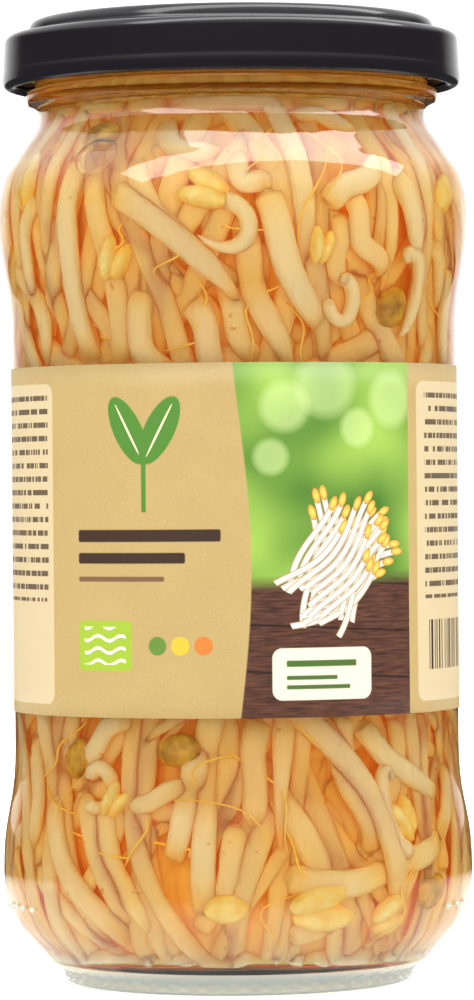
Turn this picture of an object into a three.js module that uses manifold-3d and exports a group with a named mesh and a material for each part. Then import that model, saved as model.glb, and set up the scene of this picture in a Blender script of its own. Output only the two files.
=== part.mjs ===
// A twist-off glass jar of mung bean sprouts in brine, in millimetres, +Z up.
// The origin is the middle of the ring that the jar stands on. The front faces -Y.
// An angle is measured from the front towards +X, so it grows counter-clockwise seen from above.
import * as THREE from 'three';
import { mergeVertices } from 'three/addons/utils/BufferGeometryUtils.js';
import Module from 'manifold-3d';

const wasm = await Module();
wasm.setup();

// Driving dimensions of the jar
const OVERALL_HEIGHT = 138.2;
const BULGE_RADIUS = 33.8;
const PANEL_RADIUS = 32.0;
const NECK_RADIUS = 27.8;
const BEAD_RADIUS = 29.8;
const FINISH_RADIUS = 28.3;
const MOUTH_RADIUS = 25.6;
const FOOT_RADIUS = 24.0;
const FOOT_WIDTH = 2.2;
const LOW_BULGE_Z = 17;
const PANEL_LOW_Z = 33;
const PANEL_HIGH_Z = 94.5;
const HIGH_BULGE_Z = 109.5;
const NECK_Z = 124.2;
const LIP_Z = 136.2;
const PANEL_INNER_RADIUS = 29.8;
const BULGE_INNER_RADIUS = 31.4;
const FLOOR_Z = 4.6;
const FLOOR_RADIUS = 20;

// Driving dimensions of the closure
const LID_RADIUS = 33.0;
const LID_BOTTOM_Z = 128.5;
const SHEET = 0.6;
const LUG_COUNT = 4;
const FIRST_LUG_ANGLE = -42;
const LUG_INNER_RADIUS = 29.2;
const LUG_HALF_ANGLE = 8.3;
const LUG_LOW_Z = 128.9;
const LUG_HIGH_Z = 130.1;
const OPENING_TURN = 65;
const OPENING_RISE = 1.6;
const THREAD_CLEARANCE = 0.3;
const RIDGE_RADIUS = 30.3;
const RIDGE_HEIGHT = 1.3;
const RIDGE_BEFORE_LUG = 11;
const RIDGE_AFTER_LUG = 46;

// Driving dimensions of the label and of the contents
const LABEL_LOW_Z = 39.1;
const LABEL_HIGH_Z = 88.2;
const LABEL_GAP = 0.2;
const LABEL_THICKNESS = 0.3;
const LABEL_WRAP = 352;
const BRINE_GAP = 0.35;
const BRINE_FILM = 0.6;
const BRINE_TOP_Z = 129.5;
const SPROUT_GAP = 0.3;
const CORE_DEPTH = 2.9;
const CORE_TOP_Z = 117;
const CORE_LOW_Z = 9;
const SPROUT_LOW_Z = 8.2;
const SPROUT_HIGH_Z = 122;
const STEM_SIDES = 5;
const STEM_STEPS = 5;
const STEM_TAPER = 0.35;
const STEM_WIDER = 1.2;
const STEM_FLATTER = 0.8;
const END_SINK = 1.5;
const WALL_REACH = 28.5;
const CROSS_RADIUS = 1.8;
const CROSS_TAPER = 0.2;
const BOTTOM_STEMS = 5;
const BOTTOM_SPACING = 8;
const BOTTOM_REACH = 22;
const TOP_STEMS = 3;
const TOP_SPACING = 10;
const TOP_REACH = 13;
const HEAD_THICKNESS = 3.8;
const COAT_THICKNESS = 1.5;
const HALF_THICKNESS = 2;
const LOOSE_DEPTH = 0.2;
const ROOM_MARGIN = 0.8;
const SPROUT_SEED = 2417;

// Fineness of what is turned
const TURN_STEPS = 36;
const BRINE_STEPS = 24;
const CURVE_STEPS = 3;
const MERGE_DISTANCE = 1e-4;
const COARSENING = 0.34;

const degrees = THREE.MathUtils.degToRad;

// A repeatable run of numbers from 0 to 1
function makeDraw(seed) {
  let state = seed;
  return () => {
    state = (state * 1664525 + 1013904223) % 4294967296;
    return state / 4294967296;
  };
}

// The point at an angle from the front, a radius from the axis and a height
function around(angle, radius, z) {
  const turn = degrees(angle);
  return new THREE.Vector3(radius * Math.sin(turn), -radius * Math.cos(turn), z);
}

// Moves every corner of a geometry to where place() puts it
function reshaped(geometry, place) {
  const position = geometry.attributes.position;
  const corner = new THREE.Vector3();
  for (let i = 0; i < position.count; i += 1) {
    corner.fromBufferAttribute(position, i);
    const moved = place(corner);
    position.setXYZ(i, moved.x, moved.y, moved.z);
  }
  return geometry;
}

// A closed geometry as a solid that can be joined and cut
function solidOf(geometry) {
  const bare = geometry.clone();
  bare.deleteAttribute('normal');
  bare.deleteAttribute('uv');
  const merged = mergeVertices(bare, MERGE_DISTANCE);
  const corners = Array.from(merged.index.array);
  const triangles = [];
  for (let i = 0; i < corners.length; i += 3) {
    const [a, b, c] = corners.slice(i, i + 3);
    if (a !== b && b !== c && c !== a) {
      triangles.push(a, b, c);
    }
  }
  return new wasm.Manifold(new wasm.Mesh({
    numProp: 3,
    vertProperties: Float32Array.from(merged.attributes.position.array),
    triVerts: Uint32Array.from(triangles),
  }));
}

// A solid back as a geometry
function geometryOf(solid) {
  const mesh = solid.getMesh();
  const geometry = new THREE.BufferGeometry();
  geometry.setAttribute('position', new THREE.BufferAttribute(mesh.vertProperties, 3));
  geometry.setIndex(new THREE.BufferAttribute(mesh.triVerts, 1));
  geometry.computeVertexNormals();
  return geometry;
}

// The largest body of a solid: its sealed hollows are filled and its loose scraps dropped
function mainBody(solid) {
  const bodies = solid.decompose();
  return bodies.reduce((best, body) => (body.volume() > best.volume() ? body : best));
}

// A piece turned about the jar's axis from an outline of radius and height
function turned(outline, steps = TURN_STEPS) {
  return new THREE.LatheGeometry(outline, steps).rotateX(Math.PI / 2);
}

// The corners of a path, each curve of it taken in a few straight steps
function cornersOf(path) {
  return path.getPoints(CURVE_STEPS);
}

// The jar's outer outline, from the middle of its pushed-up base to its sealing lip
function jarOutside() {
  const path = new THREE.Path();
  path.moveTo(0, 2);
  path.lineTo(15, 1.6);
  path.quadraticCurveTo(20.6, 1.3, FOOT_RADIUS - FOOT_WIDTH, 0);
  path.lineTo(FOOT_RADIUS, 0);
  path.lineTo(25.1, 0.7);
  path.lineTo(25.4, 2.4);
  path.lineTo(27.3, 3.2);
  path.lineTo(31.2, 7.5);
  path.quadraticCurveTo(BULGE_RADIUS - 0.1, 10.4, BULGE_RADIUS, LOW_BULGE_Z - 1);
  path.bezierCurveTo(
    BULGE_RADIUS, LOW_BULGE_Z + 8, PANEL_RADIUS, PANEL_LOW_Z - 8, PANEL_RADIUS, PANEL_LOW_Z + 1,
  );
  path.lineTo(PANEL_RADIUS, PANEL_HIGH_Z - 1);
  path.bezierCurveTo(
    PANEL_RADIUS, PANEL_HIGH_Z + 6, BULGE_RADIUS, HIGH_BULGE_Z - 7, BULGE_RADIUS, HIGH_BULGE_Z + 0.5,
  );
  path.quadraticCurveTo(BULGE_RADIUS - 0.1, 115.2, 31.5, 117.8);
  path.lineTo(29.2, 121.2);
  path.quadraticCurveTo(NECK_RADIUS, 123, NECK_RADIUS, NECK_Z);
  path.quadraticCurveTo(NECK_RADIUS, 125.7, BEAD_RADIUS - 0.5, 126.1);
  path.quadraticCurveTo(BEAD_RADIUS + 0.3, 127, BEAD_RADIUS - 0.3, 128);
  path.lineTo(FINISH_RADIUS, 128.3);
  path.lineTo(FINISH_RADIUS, LIP_Z - 0.9);
  path.quadraticCurveTo(FINISH_RADIUS, LIP_Z, FINISH_RADIUS - 1, LIP_Z);
  return path;
}

// The jar's inner outline, from its sealing lip down to the middle of its floor
function jarInside() {
  const path = new THREE.Path();
  path.moveTo(MOUTH_RADIUS + 0.9, LIP_Z);
  path.quadraticCurveTo(MOUTH_RADIUS, LIP_Z, MOUTH_RADIUS, LIP_Z - 1);
  path.lineTo(MOUTH_RADIUS, 124);
  path.quadraticCurveTo(MOUTH_RADIUS, 121.4, 27.6, 119);
  path.quadraticCurveTo(BULGE_INNER_RADIUS, 115.4, BULGE_INNER_RADIUS, HIGH_BULGE_Z - 1);
  path.bezierCurveTo(
    BULGE_INNER_RADIUS, HIGH_BULGE_Z - 8, PANEL_INNER_RADIUS, PANEL_HIGH_Z + 5,
    PANEL_INNER_RADIUS, PANEL_HIGH_Z - 3,
  );
  path.lineTo(PANEL_INNER_RADIUS, PANEL_LOW_Z + 3);
  path.bezierCurveTo(
    PANEL_INNER_RADIUS, PANEL_LOW_Z - 6, BULGE_INNER_RADIUS, LOW_BULGE_Z + 8,
    BULGE_INNER_RADIUS, LOW_BULGE_Z,
  );
  path.quadraticCurveTo(BULGE_INNER_RADIUS, 11.4, 28.4, 8);
  path.quadraticCurveTo(25.4, FLOOR_Z, FLOOR_RADIUS, FLOOR_Z);
  path.lineTo(0, FLOOR_Z + 0.6);
  return path;
}

// The radius of the inner wall at a height, read between the corners of the inner outline
const innerCorners = cornersOf(jarInside());
function innerRadius(z) {
  const above = innerCorners.findIndex((corner, i) => i > 0 && corner.y <= z);
  const high = innerCorners[above - 1];
  const low = innerCorners[above];
  const share = (high.y - z) / (high.y - low.y);
  return high.x + (low.x - high.x) * share;
}

// The angle of each lug of the lid, and of the thread ridge over it
const lugAngles = Array.from({ length: LUG_COUNT }, (_, i) => FIRST_LUG_ANGLE + (i * 360) / LUG_COUNT);

// One thread ridge: a bar bent round the neck that climbs as the lid does, with thinned ends
function threadRidge(lugAngle) {
  const root = FINISH_RADIUS - 0.6;
  const span = RIDGE_BEFORE_LUG + RIDGE_AFTER_LUG;
  const climb = OPENING_RISE / OPENING_TURN;
  const bar = new THREE.BoxGeometry(1, 1, 1, 1, 10, 1);
  return reshaped(bar, (corner) => {
    const along = corner.y + 0.5;
    const swell = Math.min(1, 0.35 + 3.5 * Math.sin(Math.PI * along));
    const turn = -RIDGE_BEFORE_LUG + span * along;
    const outer = corner.x > 0;
    const top = corner.z > 0;
    const radius = outer ? root + (RIDGE_RADIUS - root) * swell : root;
    const underside = LUG_HIGH_Z + THREAD_CLEARANCE + climb * turn;
    const draft = outer ? 0.3 : 0;
    const z = top ? underside + RIDGE_HEIGHT * swell - draft : underside + draft * 0.3;
    return around(lugAngle + turn, radius, z);
  });
}

// The glass jar: the turned wall with its four thread ridges
function jarGlass() {
  const wall = solidOf(turned([...cornersOf(jarOutside()), ...cornersOf(jarInside())]));
  const ridges = lugAngles.map((angle) => solidOf(threadRidge(angle)));
  return geometryOf(mainBody(wall.add(wasm.Manifold.union(ridges))));
}

// The lid's outline: up the outside from the curl, over the top, back along the inside
function lidOutline() {
  const top = OVERALL_HEIGHT;
  const path = new THREE.Path();
  path.moveTo(LID_RADIUS - 1.1, LID_BOTTOM_Z);
  path.quadraticCurveTo(LID_RADIUS, LID_BOTTOM_Z, LID_RADIUS, LID_BOTTOM_Z + 1.1);
  path.quadraticCurveTo(LID_RADIUS, LID_BOTTOM_Z + 1.8, LID_RADIUS - 0.1, LID_BOTTOM_Z + 2.4);
  path.lineTo(LID_RADIUS - 0.3, top - 3.2);
  path.quadraticCurveTo(LID_RADIUS - 0.4, top - 2.1, 31.4, top - 2.1);
  path.lineTo(29.5, top - 2);
  path.quadraticCurveTo(29.2, top, 28, top);
  path.lineTo(26.2, top);
  path.lineTo(24.9, top - 0.8);
  path.lineTo(11.2, top - 0.8);
  path.lineTo(10.4, top - 1.2);
  path.lineTo(0, top - 1.5);
  path.lineTo(0, top - 1.5 - SHEET);
  path.lineTo(10.6, top - 1.2 - SHEET);
  path.lineTo(11.4, top - 0.8 - SHEET);
  path.lineTo(25.1, top - 0.8 - SHEET);
  path.lineTo(26.2, top - SHEET);
  path.lineTo(28.4, top - SHEET);
  path.lineTo(28.9, top - 2.6);
  path.lineTo(31, top - 2.1 - SHEET);
  path.lineTo(LID_RADIUS - 0.3 - SHEET, top - 3.7);
  path.lineTo(LID_RADIUS - 0.3 - SHEET, LID_BOTTOM_Z + 2.6);
  path.lineTo(31, LID_BOTTOM_Z + 2);
  path.quadraticCurveTo(30.6, LID_BOTTOM_Z, LID_RADIUS - 1.1, LID_BOTTOM_Z);
  return cornersOf(path);
}

// One lug: a block of the curl pressed inwards under the end of a thread ridge
function lug(angle) {
  const block = new THREE.BoxGeometry(1, 1, 1, 1, 4, 1);
  return reshaped(block, (corner) => {
    const end = Math.abs(corner.y) > 0.4;
    const radius = corner.x > 0 ? 31.9 : LUG_INNER_RADIUS + (end ? 0.8 : 0);
    const z = corner.z > 0 ? LUG_HIGH_Z : LUG_LOW_Z;
    return around(angle + 2 * LUG_HALF_ANGLE * corner.y, radius, z);
  });
}

// The lid: the turned sheet with its lugs
function lid() {
  const sheet = solidOf(turned(lidOutline()));
  const lugs = lugAngles.map((angle) => solidOf(lug(angle)));
  return geometryOf(mainBody(sheet.add(wasm.Manifold.union(lugs))));
}

// The ring of sealing compound in the lid's channel, just over the glass lip
function lidGasket() {
  const low = LIP_Z + 0.3;
  const high = OVERALL_HEIGHT - SHEET - 0.3;
  const path = new THREE.Path();
  path.moveTo(26.2, low);
  path.lineTo(28.1, low);
  path.lineTo(28.1, high);
  path.lineTo(26.4, high);
  path.lineTo(25.8, high - 0.5);
  path.lineTo(26.2, low);
  return turned(cornersOf(path));
}

// The label: a thin band wrapped round the recessed panel, with a narrow gap at the back
function label() {
  const height = LABEL_HIGH_Z - LABEL_LOW_Z;
  const band = new THREE.BoxGeometry(LABEL_THICKNESS, LABEL_WRAP, height, 1, TURN_STEPS, 1);
  const middle = PANEL_RADIUS + LABEL_GAP + LABEL_THICKNESS / 2;
  const middleZ = (LABEL_LOW_Z + LABEL_HIGH_Z) / 2;
  return reshaped(band, (corner) => around(corner.y, middle + corner.x, middleZ + corner.z));
}

// The heights at which the brine's wall turns a corner, from the heel to the neck
const BRINE_HEIGHTS = [
  8, 10.5, 14, LOW_BULGE_Z, 23, 29, PANEL_LOW_Z + 2, PANEL_HIGH_Z - 2, 98, 103, HIGH_BULGE_Z - 1, 114, 117.5,
  120.5, 122.5, BRINE_TOP_Z,
];
const brineWall = BRINE_HEIGHTS.map((z) => new THREE.Vector2(innerRadius(z) - BRINE_GAP, z));

// The brine: a film inside the glass, open at the top by a plain hole that holds the sprouts
function brine() {
  const inner = brineWall.map((corner) => new THREE.Vector2(corner.x - BRINE_FILM, corner.y)).reverse();
  const bottom = FLOOR_Z + 0.6 + BRINE_GAP;
  return turned([
    new THREE.Vector2(0, bottom),
    new THREE.Vector2(FLOOR_RADIUS, bottom),
    ...brineWall,
    ...inner,
    new THREE.Vector2(FLOOR_RADIUS, bottom + BRINE_FILM),
    new THREE.Vector2(0, bottom + BRINE_FILM),
  ], BRINE_STEPS);
}

// Where the outermost sprouts reach to, at a height: just inside the flats of the brine's hole
function packedRadius(z) {
  const above = brineWall.findIndex((corner) => corner.y >= z);
  const low = brineWall[Math.max(above - 1, 0)];
  const high = brineWall[above];
  const share = high.y > low.y ? (z - low.y) / (high.y - low.y) : 0;
  const wall = low.x + (high.x - low.x) * share;
  return (wall - BRINE_FILM) * Math.cos(Math.PI / BRINE_STEPS) - SPROUT_GAP;
}

// Presses a point that would stand past the wall back to it
function pressed(point) {
  const reach = Math.hypot(point.x, point.y);
  const limit = packedRadius(point.z);
  if (reach > limit) {
    point.x *= limit / reach;
    point.y *= limit / reach;
  }
  return point;
}

// A sprout that lies along the wall of the jar, from one angle and height to another.
// Its middle lies outermost and its two ends sink into the bunch.
function wallCourse(row) {
  const [startAngle, startZ, endAngle, endZ, bow, radius, depth] = row;
  const across = degrees(endAngle - startAngle) * WALL_REACH;
  const rise = endZ - startZ;
  const length = Math.hypot(across, rise);
  const sideAngle = THREE.MathUtils.radToDeg(((bow / length) * rise) / WALL_REACH);
  const sideZ = (-bow / length) * across;
  return (t) => {
    const swing = 4 * t * (1 - t);
    const angle = startAngle + (endAngle - startAngle) * t + sideAngle * swing;
    const plainZ = startZ + rise * t + sideZ * swing;
    const z = Math.min(SPROUT_HIGH_Z, Math.max(SPROUT_LOW_Z + radius, plainZ));
    const sunk = depth + END_SINK * (2 * t - 1) ** 4;
    return around(angle, packedRadius(z) - radius * STEM_FLATTER - sunk, z);
  };
}

// A sprout that lies across the bottom or the top of the bunch
function crossCourse(angle, offset, reach, z, bow) {
  const along = around(angle, 1, 0);
  const side = around(angle + 90, 1, 0);
  return (t) => {
    const point = side.clone().multiplyScalar(offset + bow * 4 * t * (1 - t));
    point.addScaledVector(along, reach * (2 * t - 1));
    point.z = z;
    return point;
  };
}

// A stem carried along a course: round ends, thinner towards its root, and flattened by its neighbours
function stem(course, radius, taper) {
  const ball = new THREE.SphereGeometry(1, STEM_SIDES, STEM_STEPS);
  const nudge = 0.02;
  return reshaped(ball, (corner) => {
    const t = Math.acos(THREE.MathUtils.clamp(corner.y, -1, 1)) / Math.PI;
    const ring = Math.hypot(corner.x, corner.z);
    const point = course(t);
    if (ring < 1e-6) {
      return point;
    }
    const tangent = course(t + nudge).sub(course(t - nudge)).normalize();
    const normal = new THREE.Vector3(point.x, point.y, 0).normalize();
    normal.addScaledVector(tangent, -normal.dot(tangent)).normalize();
    const binormal = tangent.clone().cross(normal);
    const girth = radius * Math.sin(Math.PI * t) ** 0.3 * (1 - taper * t);
    point.addScaledVector(normal, (corner.x / ring) * girth * STEM_FLATTER);
    point.addScaledVector(binormal, (corner.z / ring) * girth * STEM_WIDER);
    return pressed(point);
  });
}

// A plump oval seated at an angle and height, with its long side turned in the wall's surface
function wallOval(angle, z, depth, turn, size, sides, rows) {
  const oval = new THREE.SphereGeometry(1, sides, rows);
  const middle = around(angle, packedRadius(z) - size.z / 2 - depth, z);
  const out = around(angle, 1, 0);
  const up = new THREE.Vector3(0, 0, 1);
  const side = up.clone().cross(out);
  const long = up.clone().multiplyScalar(Math.cos(degrees(turn)));
  long.addScaledVector(side, Math.sin(degrees(turn)));
  const wide = out.clone().cross(long).negate();
  return reshaped(oval, (corner) => {
    const point = middle.clone();
    point.addScaledVector(long, (corner.y * size.x) / 2);
    point.addScaledVector(wide, (corner.x * size.y) / 2);
    return pressed(point.addScaledVector(out, (corner.z * size.z) / 2));
  });
}

// The sprouts that show in front, each as: start angle, start height, end angle, end height,
// sideways bow, stem radius and depth under the outermost layer
const FRONT_SPROUTS = [
  [-47, 116, -42, 88, 1.5, 2.0, 0], [-42, 115, -34, 86, -2, 1.9, 0.6], [-34, 112, 2, 96, -2, 2.1, 0],
  [-29, 116, 2, 99, 1.5, 1.8, 0.9], [-25, 99, -16, 86, 3, 2.2, 0.3], [-12, 97, -4, 84, -1, 2.1, 0],
  [-62, 112, -67, 97, 1.5, 1.7, 0.2], [-79, 104, -61, 87, -3, 2.0, 0], [9, 112, 25, 92, 0.5, 2.3, 0],
  [3, 107, 17, 86, 1, 2.1, 0.4], [-1, 102, 8, 88, 2, 1.9, 0.9], [0, 116, 12, 112, 1, 1.7, 0.3],
  [26, 110, 45, 115, -1, 2.0, 0.2], [33, 112, 46, 101, 1.5, 1.9, 0.4], [30, 109, 33, 98, 1, 1.7, 1.0],
  [23, 87, 68, 95, 9, 1.9, 0], [48, 114, 55, 102, -1.5, 2.0, 0], [76, 103, 78, 86, 1, 2.1, 0],
  [64, 106, 73, 96, -1, 1.8, 0.6], [-22, 121, -3, 117, 2, 1.8, 0.5], [20, 121, 41, 119, -2, 1.8, 0.3],
  [-59, 28, -32, 9, 2, 2.1, 0], [-49, 28, -32, 10, -1, 1.8, 0.8], [-40, 27, -23, 10, 1, 2.2, 0],
  [-14, 29, -31, 25, 1, 1.7, 0.4], [-12, 35, -18, 19, -1, 2.0, 0.2], [-6, 41, -9, 12, 1, 2.1, 0],
  [0, 24, -11, 10, -1, 1.8, 0.6], [-30, 39, -47, 32, 1, 1.8, 0.3], [-71, 36, -67, 19, -1.5, 2.0, 0],
  [14, 41, 48, 9, -4, 2.2, 0], [22, 39, 38, 19, -1.5, 2.0, 0.5], [32, 39, 33, 28, 1, 1.7, 0.3],
  [37, 38, 68, 27, 2, 2.0, 0.1], [37, 30, 45, 18, 2, 1.8, 0.8], [12, 17, 67, 21, 2.5, 2.2, 0.2],
  [7, 39, 5, 23, 1, 2.0, 0.5], [29, 11, 14, 9, 1, 1.8, 0.3], [76, 31, 67, 16, 1, 1.9, 0.2],
];

// The bean heads in front: angle, height, turn of the long side, length, width
const FRONT_HEADS = [
  [-7, 112, -70, 6.6, 4.4], [-33, 103, 20, 6, 3.8], [24, 104.5, 10, 5, 3.2],
  [-35, 27, 30, 5.4, 3.4], [23, 13, 80, 9.5, 5.6], [50, 24, -30, 6.4, 4.2], [44, 11.5, 70, 6, 4],
];

// The loose seed coats and bean halves: angle, height, turn, length, width
const SEED_COATS = [
  [-42, 119, 60, 6.5, 4.6], [48, 96, 40, 7, 5], [-49, 33, 20, 6, 4.2], [-16, 34.5, 80, 6, 4.4],
  [60, 14, 75, 7, 4], [152, 108, 35, 6.4, 4.5], [-140, 24, -50, 6.6, 4.4],
];
const BEAN_HALVES = [
  [-67, 114, 15, 8, 3.6], [70, 112, 60, 6, 4.2], [-3, 13, 85, 6.2, 4],
  [128, 26, 30, 6.4, 4.2], [-118, 107, -20, 6, 4],
];

// What lies round the sides and the back, drawn evenly round each band of heights
const SIDE_BANDS = [
  { count: 14, lowZ: 92, highZ: 117, from: 84, to: 280, steep: 60 },
  { count: 14, lowZ: 14, highZ: 34, from: 80, to: 286, steep: 70 },
  { count: 5, lowZ: 48, highZ: 80, from: 0, to: 360, steep: 30 },
];

function sideSprouts(draw) {
  const rows = [];
  for (const band of SIDE_BANDS) {
    for (let i = 0; i < band.count; i += 1) {
      const angle = band.from + ((i + draw()) * (band.to - band.from)) / band.count;
      const z = band.lowZ + draw() * (band.highZ - band.lowZ);
      const lean = degrees((draw() * 2 - 1) * band.steep);
      const length = 20 + 16 * draw();
      const halfAngle = THREE.MathUtils.radToDeg((length * Math.sin(lean)) / 2 / WALL_REACH);
      const halfRise = (length * Math.cos(lean)) / 2;
      const bow = (draw() * 2 - 1) * 4;
      const radius = 1.6 + 0.6 * draw();
      const depth = draw();
      rows.push([angle - halfAngle, z + halfRise, angle + halfAngle, z - halfRise, bow, radius, depth]);
    }
  }
  return rows;
}

// The bunch's smaller core, which the sprouts lie half sunk in
function bunchCore() {
  const heights = [CORE_LOW_Z + 3, LOW_BULGE_Z, PANEL_LOW_Z, PANEL_HIGH_Z, HIGH_BULGE_Z, CORE_TOP_Z];
  const outline = heights.map((z) => new THREE.Vector2(packedRadius(z) - CORE_DEPTH, z));
  return turned([
    new THREE.Vector2(0, CORE_LOW_Z),
    new THREE.Vector2(BOTTOM_REACH, CORE_LOW_Z),
    ...outline,
    new THREE.Vector2(18, SPROUT_HIGH_Z - 1.5),
    new THREE.Vector2(0, SPROUT_HIGH_Z - 1.5),
  ], BRINE_STEPS);
}

// The sprouts across the bottom and the top of the bunch
function crossSprouts(draw) {
  const stems = [];
  for (let i = 0; i < BOTTOM_STEMS; i += 1) {
    const offset = BOTTOM_SPACING * (i - (BOTTOM_STEMS - 1) / 2);
    const reach = Math.sqrt(BOTTOM_REACH ** 2 - offset ** 2) - 1;
    const course = crossCourse(20 + 50 * draw(), offset, reach, SPROUT_LOW_Z + 0.9, 4 * draw() - 2);
    stems.push(stem(course, CROSS_RADIUS, CROSS_TAPER));
  }
  for (let i = 0; i < TOP_STEMS; i += 1) {
    const offset = TOP_SPACING * (i - (TOP_STEMS - 1) / 2);
    const course = crossCourse(100 + 60 * draw(), offset, TOP_REACH, SPROUT_HIGH_Z - 1, 4 * draw() - 2);
    stems.push(stem(course, CROSS_RADIUS, CROSS_TAPER));
  }
  return stems;
}

// A small loose oval from one row of a list, larger by a margin where room is cut for it
function looseOval(row, thickness, margin) {
  const [angle, z, turn, length, width] = row;
  const size = new THREE.Vector3(length + margin, width + margin, thickness + margin);
  return wallOval(angle, z, LOOSE_DEPTH - margin / 2, turn, size, 7, 4);
}

// The bunch: core, stems and bean heads joined, with room for the loose coats and halves
function sproutBunch() {
  const draw = makeDraw(SPROUT_SEED);
  const wallRows = [...FRONT_SPROUTS, ...sideSprouts(draw)];
  const stems = wallRows.map((row) => stem(wallCourse(row), row[5], STEM_TAPER));
  const heads = FRONT_HEADS.map(([angle, z, turn, length, width]) => (
    wallOval(angle, z, 0, turn, new THREE.Vector3(length, width, HEAD_THICKNESS), 6, 4)
  ));
  const grown = [bunchCore(), ...stems, ...crossSprouts(draw), ...heads].map(solidOf);
  const room = [
    ...SEED_COATS.map((row) => looseOval(row, COAT_THICKNESS, ROOM_MARGIN)),
    ...BEAN_HALVES.map((row) => looseOval(row, HALF_THICKNESS, ROOM_MARGIN)),
  ].map(solidOf);
  const bunch = wasm.Manifold.union(grown).subtract(wasm.Manifold.union(room));
  return geometryOf(mainBody(bunch.simplify(COARSENING)));
}

// Named pieces in one group, each with its finish
function piece(name, geometry, color, roughness, metalness = 0) {
  const material = new THREE.MeshStandardMaterial({ color, roughness, metalness });
  const mesh = new THREE.Mesh(geometry, material);
  mesh.name = name;
  return mesh;
}

const jar = new THREE.Group();
jar.add(piece('jar_glass', jarGlass(), 0xdfe9e2, 0.05));
jar.add(piece('lid', lid(), 0x201d20, 0.22, 0.4));
jar.add(piece('lid_gasket', lidGasket(), 0xe8e4da, 0.7));
jar.add(piece('label', label(), 0xe4d09a, 0.6));
jar.add(piece('brine', brine(), 0xd9a860, 0.1));
jar.add(piece('sprout_bunch', sproutBunch(), 0xeacb96, 0.5));
SEED_COATS.forEach((row, i) => {
  jar.add(piece(`seed_coat_${i + 1}`, looseOval(row, COAT_THICKNESS, 0), 0x8c7a3a, 0.5));
});
BEAN_HALVES.forEach((row, i) => {
  jar.add(piece(`bean_half_${i + 1}`, looseOval(row, HALF_THICKNESS, 0), 0xe9c65c, 0.5));
});

export default jar;
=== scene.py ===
"""The closed jar of bean sprouts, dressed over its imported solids.

Names that end in _MM are in millimetres, and so are the outlines; MM turns them into metres.
An angle is measured from the front, -Y, towards +X.
"""
import math

import bmesh
import bpy
import numpy as np
from mathutils import Matrix, Vector


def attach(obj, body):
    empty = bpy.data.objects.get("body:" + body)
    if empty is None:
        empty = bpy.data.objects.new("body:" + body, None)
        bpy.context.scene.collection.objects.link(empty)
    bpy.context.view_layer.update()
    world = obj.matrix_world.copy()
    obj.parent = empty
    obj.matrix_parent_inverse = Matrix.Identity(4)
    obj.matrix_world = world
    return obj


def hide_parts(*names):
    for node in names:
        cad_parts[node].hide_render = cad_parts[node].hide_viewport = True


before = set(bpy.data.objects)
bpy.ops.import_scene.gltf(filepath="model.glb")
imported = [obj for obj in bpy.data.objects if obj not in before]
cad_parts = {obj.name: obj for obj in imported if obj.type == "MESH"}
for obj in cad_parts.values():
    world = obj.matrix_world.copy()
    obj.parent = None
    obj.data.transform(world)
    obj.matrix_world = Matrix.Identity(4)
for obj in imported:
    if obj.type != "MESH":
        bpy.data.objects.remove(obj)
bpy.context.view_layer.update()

MM = 0.001
RNG_SEED = 2417

# The photograph's frame, and where the camera stood
IMAGE_WIDTH = 474
IMAGE_HEIGHT = 1000
FOCAL_PX = 4750
CAMERA_DISTANCE = 0.6864
CAMERA_HEIGHT = 0.071
HORIZON_ROW = 487
AXIS_COLUMN = 235
JAR_LEAN_DEG = 0.5

# The jar, as its solid has it
BULGE_MM = 33.8
PANEL_MM = 32.0
NECK_MM = 27.8
BEAD_MM = 29.8
FINISH_MM = 28.3
MOUTH_MM = 25.6
FOOT_MM = 24.0
FOOT_WIDTH_MM = 2.2
FOOT_HIGH_Z_MM = 3.1
KNURL_MM = 0.3
KNURL_COUNT = 54
LOW_BULGE_Z_MM = 17
PANEL_LOW_Z_MM = 33
PANEL_HIGH_Z_MM = 94.5
HIGH_BULGE_Z_MM = 109.5
NECK_Z_MM = 124.2
LIP_Z_MM = 136.2
PANEL_INNER_MM = 29.8
BULGE_INNER_MM = 31.4
FLOOR_Z_MM = 4.6
FLOOR_RISE_MM = 0.6
FLOOR_MM = 20
TOP_Z_MM = 138.2
LID_MM = 33.0
LID_BOTTOM_Z_MM = 128.5
SHEET_MM = 0.6
BRINE_TOP_Z_MM = 129.5
BRINE_DISH_MM = 1.2
WET_OVERLAP_MM = 0.06
BUBBLE_SIZE_MM = (6.8, 4.8, 1.1)
BUBBLE_CLEAR_MM = 0.15
BUBBLE_DEG = -39.6
BUBBLE_Z_MM = 116.8
DOT_DEGS = (-76, -70.5, -65.5, -60, 62, 68, 75)
DOT_MM = 0.38
DOT_Z_MM = 11.6
DOT_SUNK_MM = 0.15
THREAD_MM = 30.3
THREAD_START_DEG = -53
THREAD_SPAN_DEG = 57
THREAD_LOW_Z_MM = 130.4
THREAD_CLIMB_MM = 1.6 / 65
THREAD_THICK_MM = 1.2
THREAD_SLOPE_MM = 0.25
TURN_STEPS = 144
JAR_STEPS = 378
LID_STEPS = 360
LUG_DEG = -42
LUG_HALF_DEG = 9.5
LUG_MM = 1.5


def around(angle, radius, z):
    """Points at angles from the front in degrees, radii and heights: x = r sin a, y = -r cos a."""
    turn = np.radians(angle)
    return np.stack(np.broadcast_arrays(radius * np.sin(turn), -radius * np.cos(turn), z), axis=-1)


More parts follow.
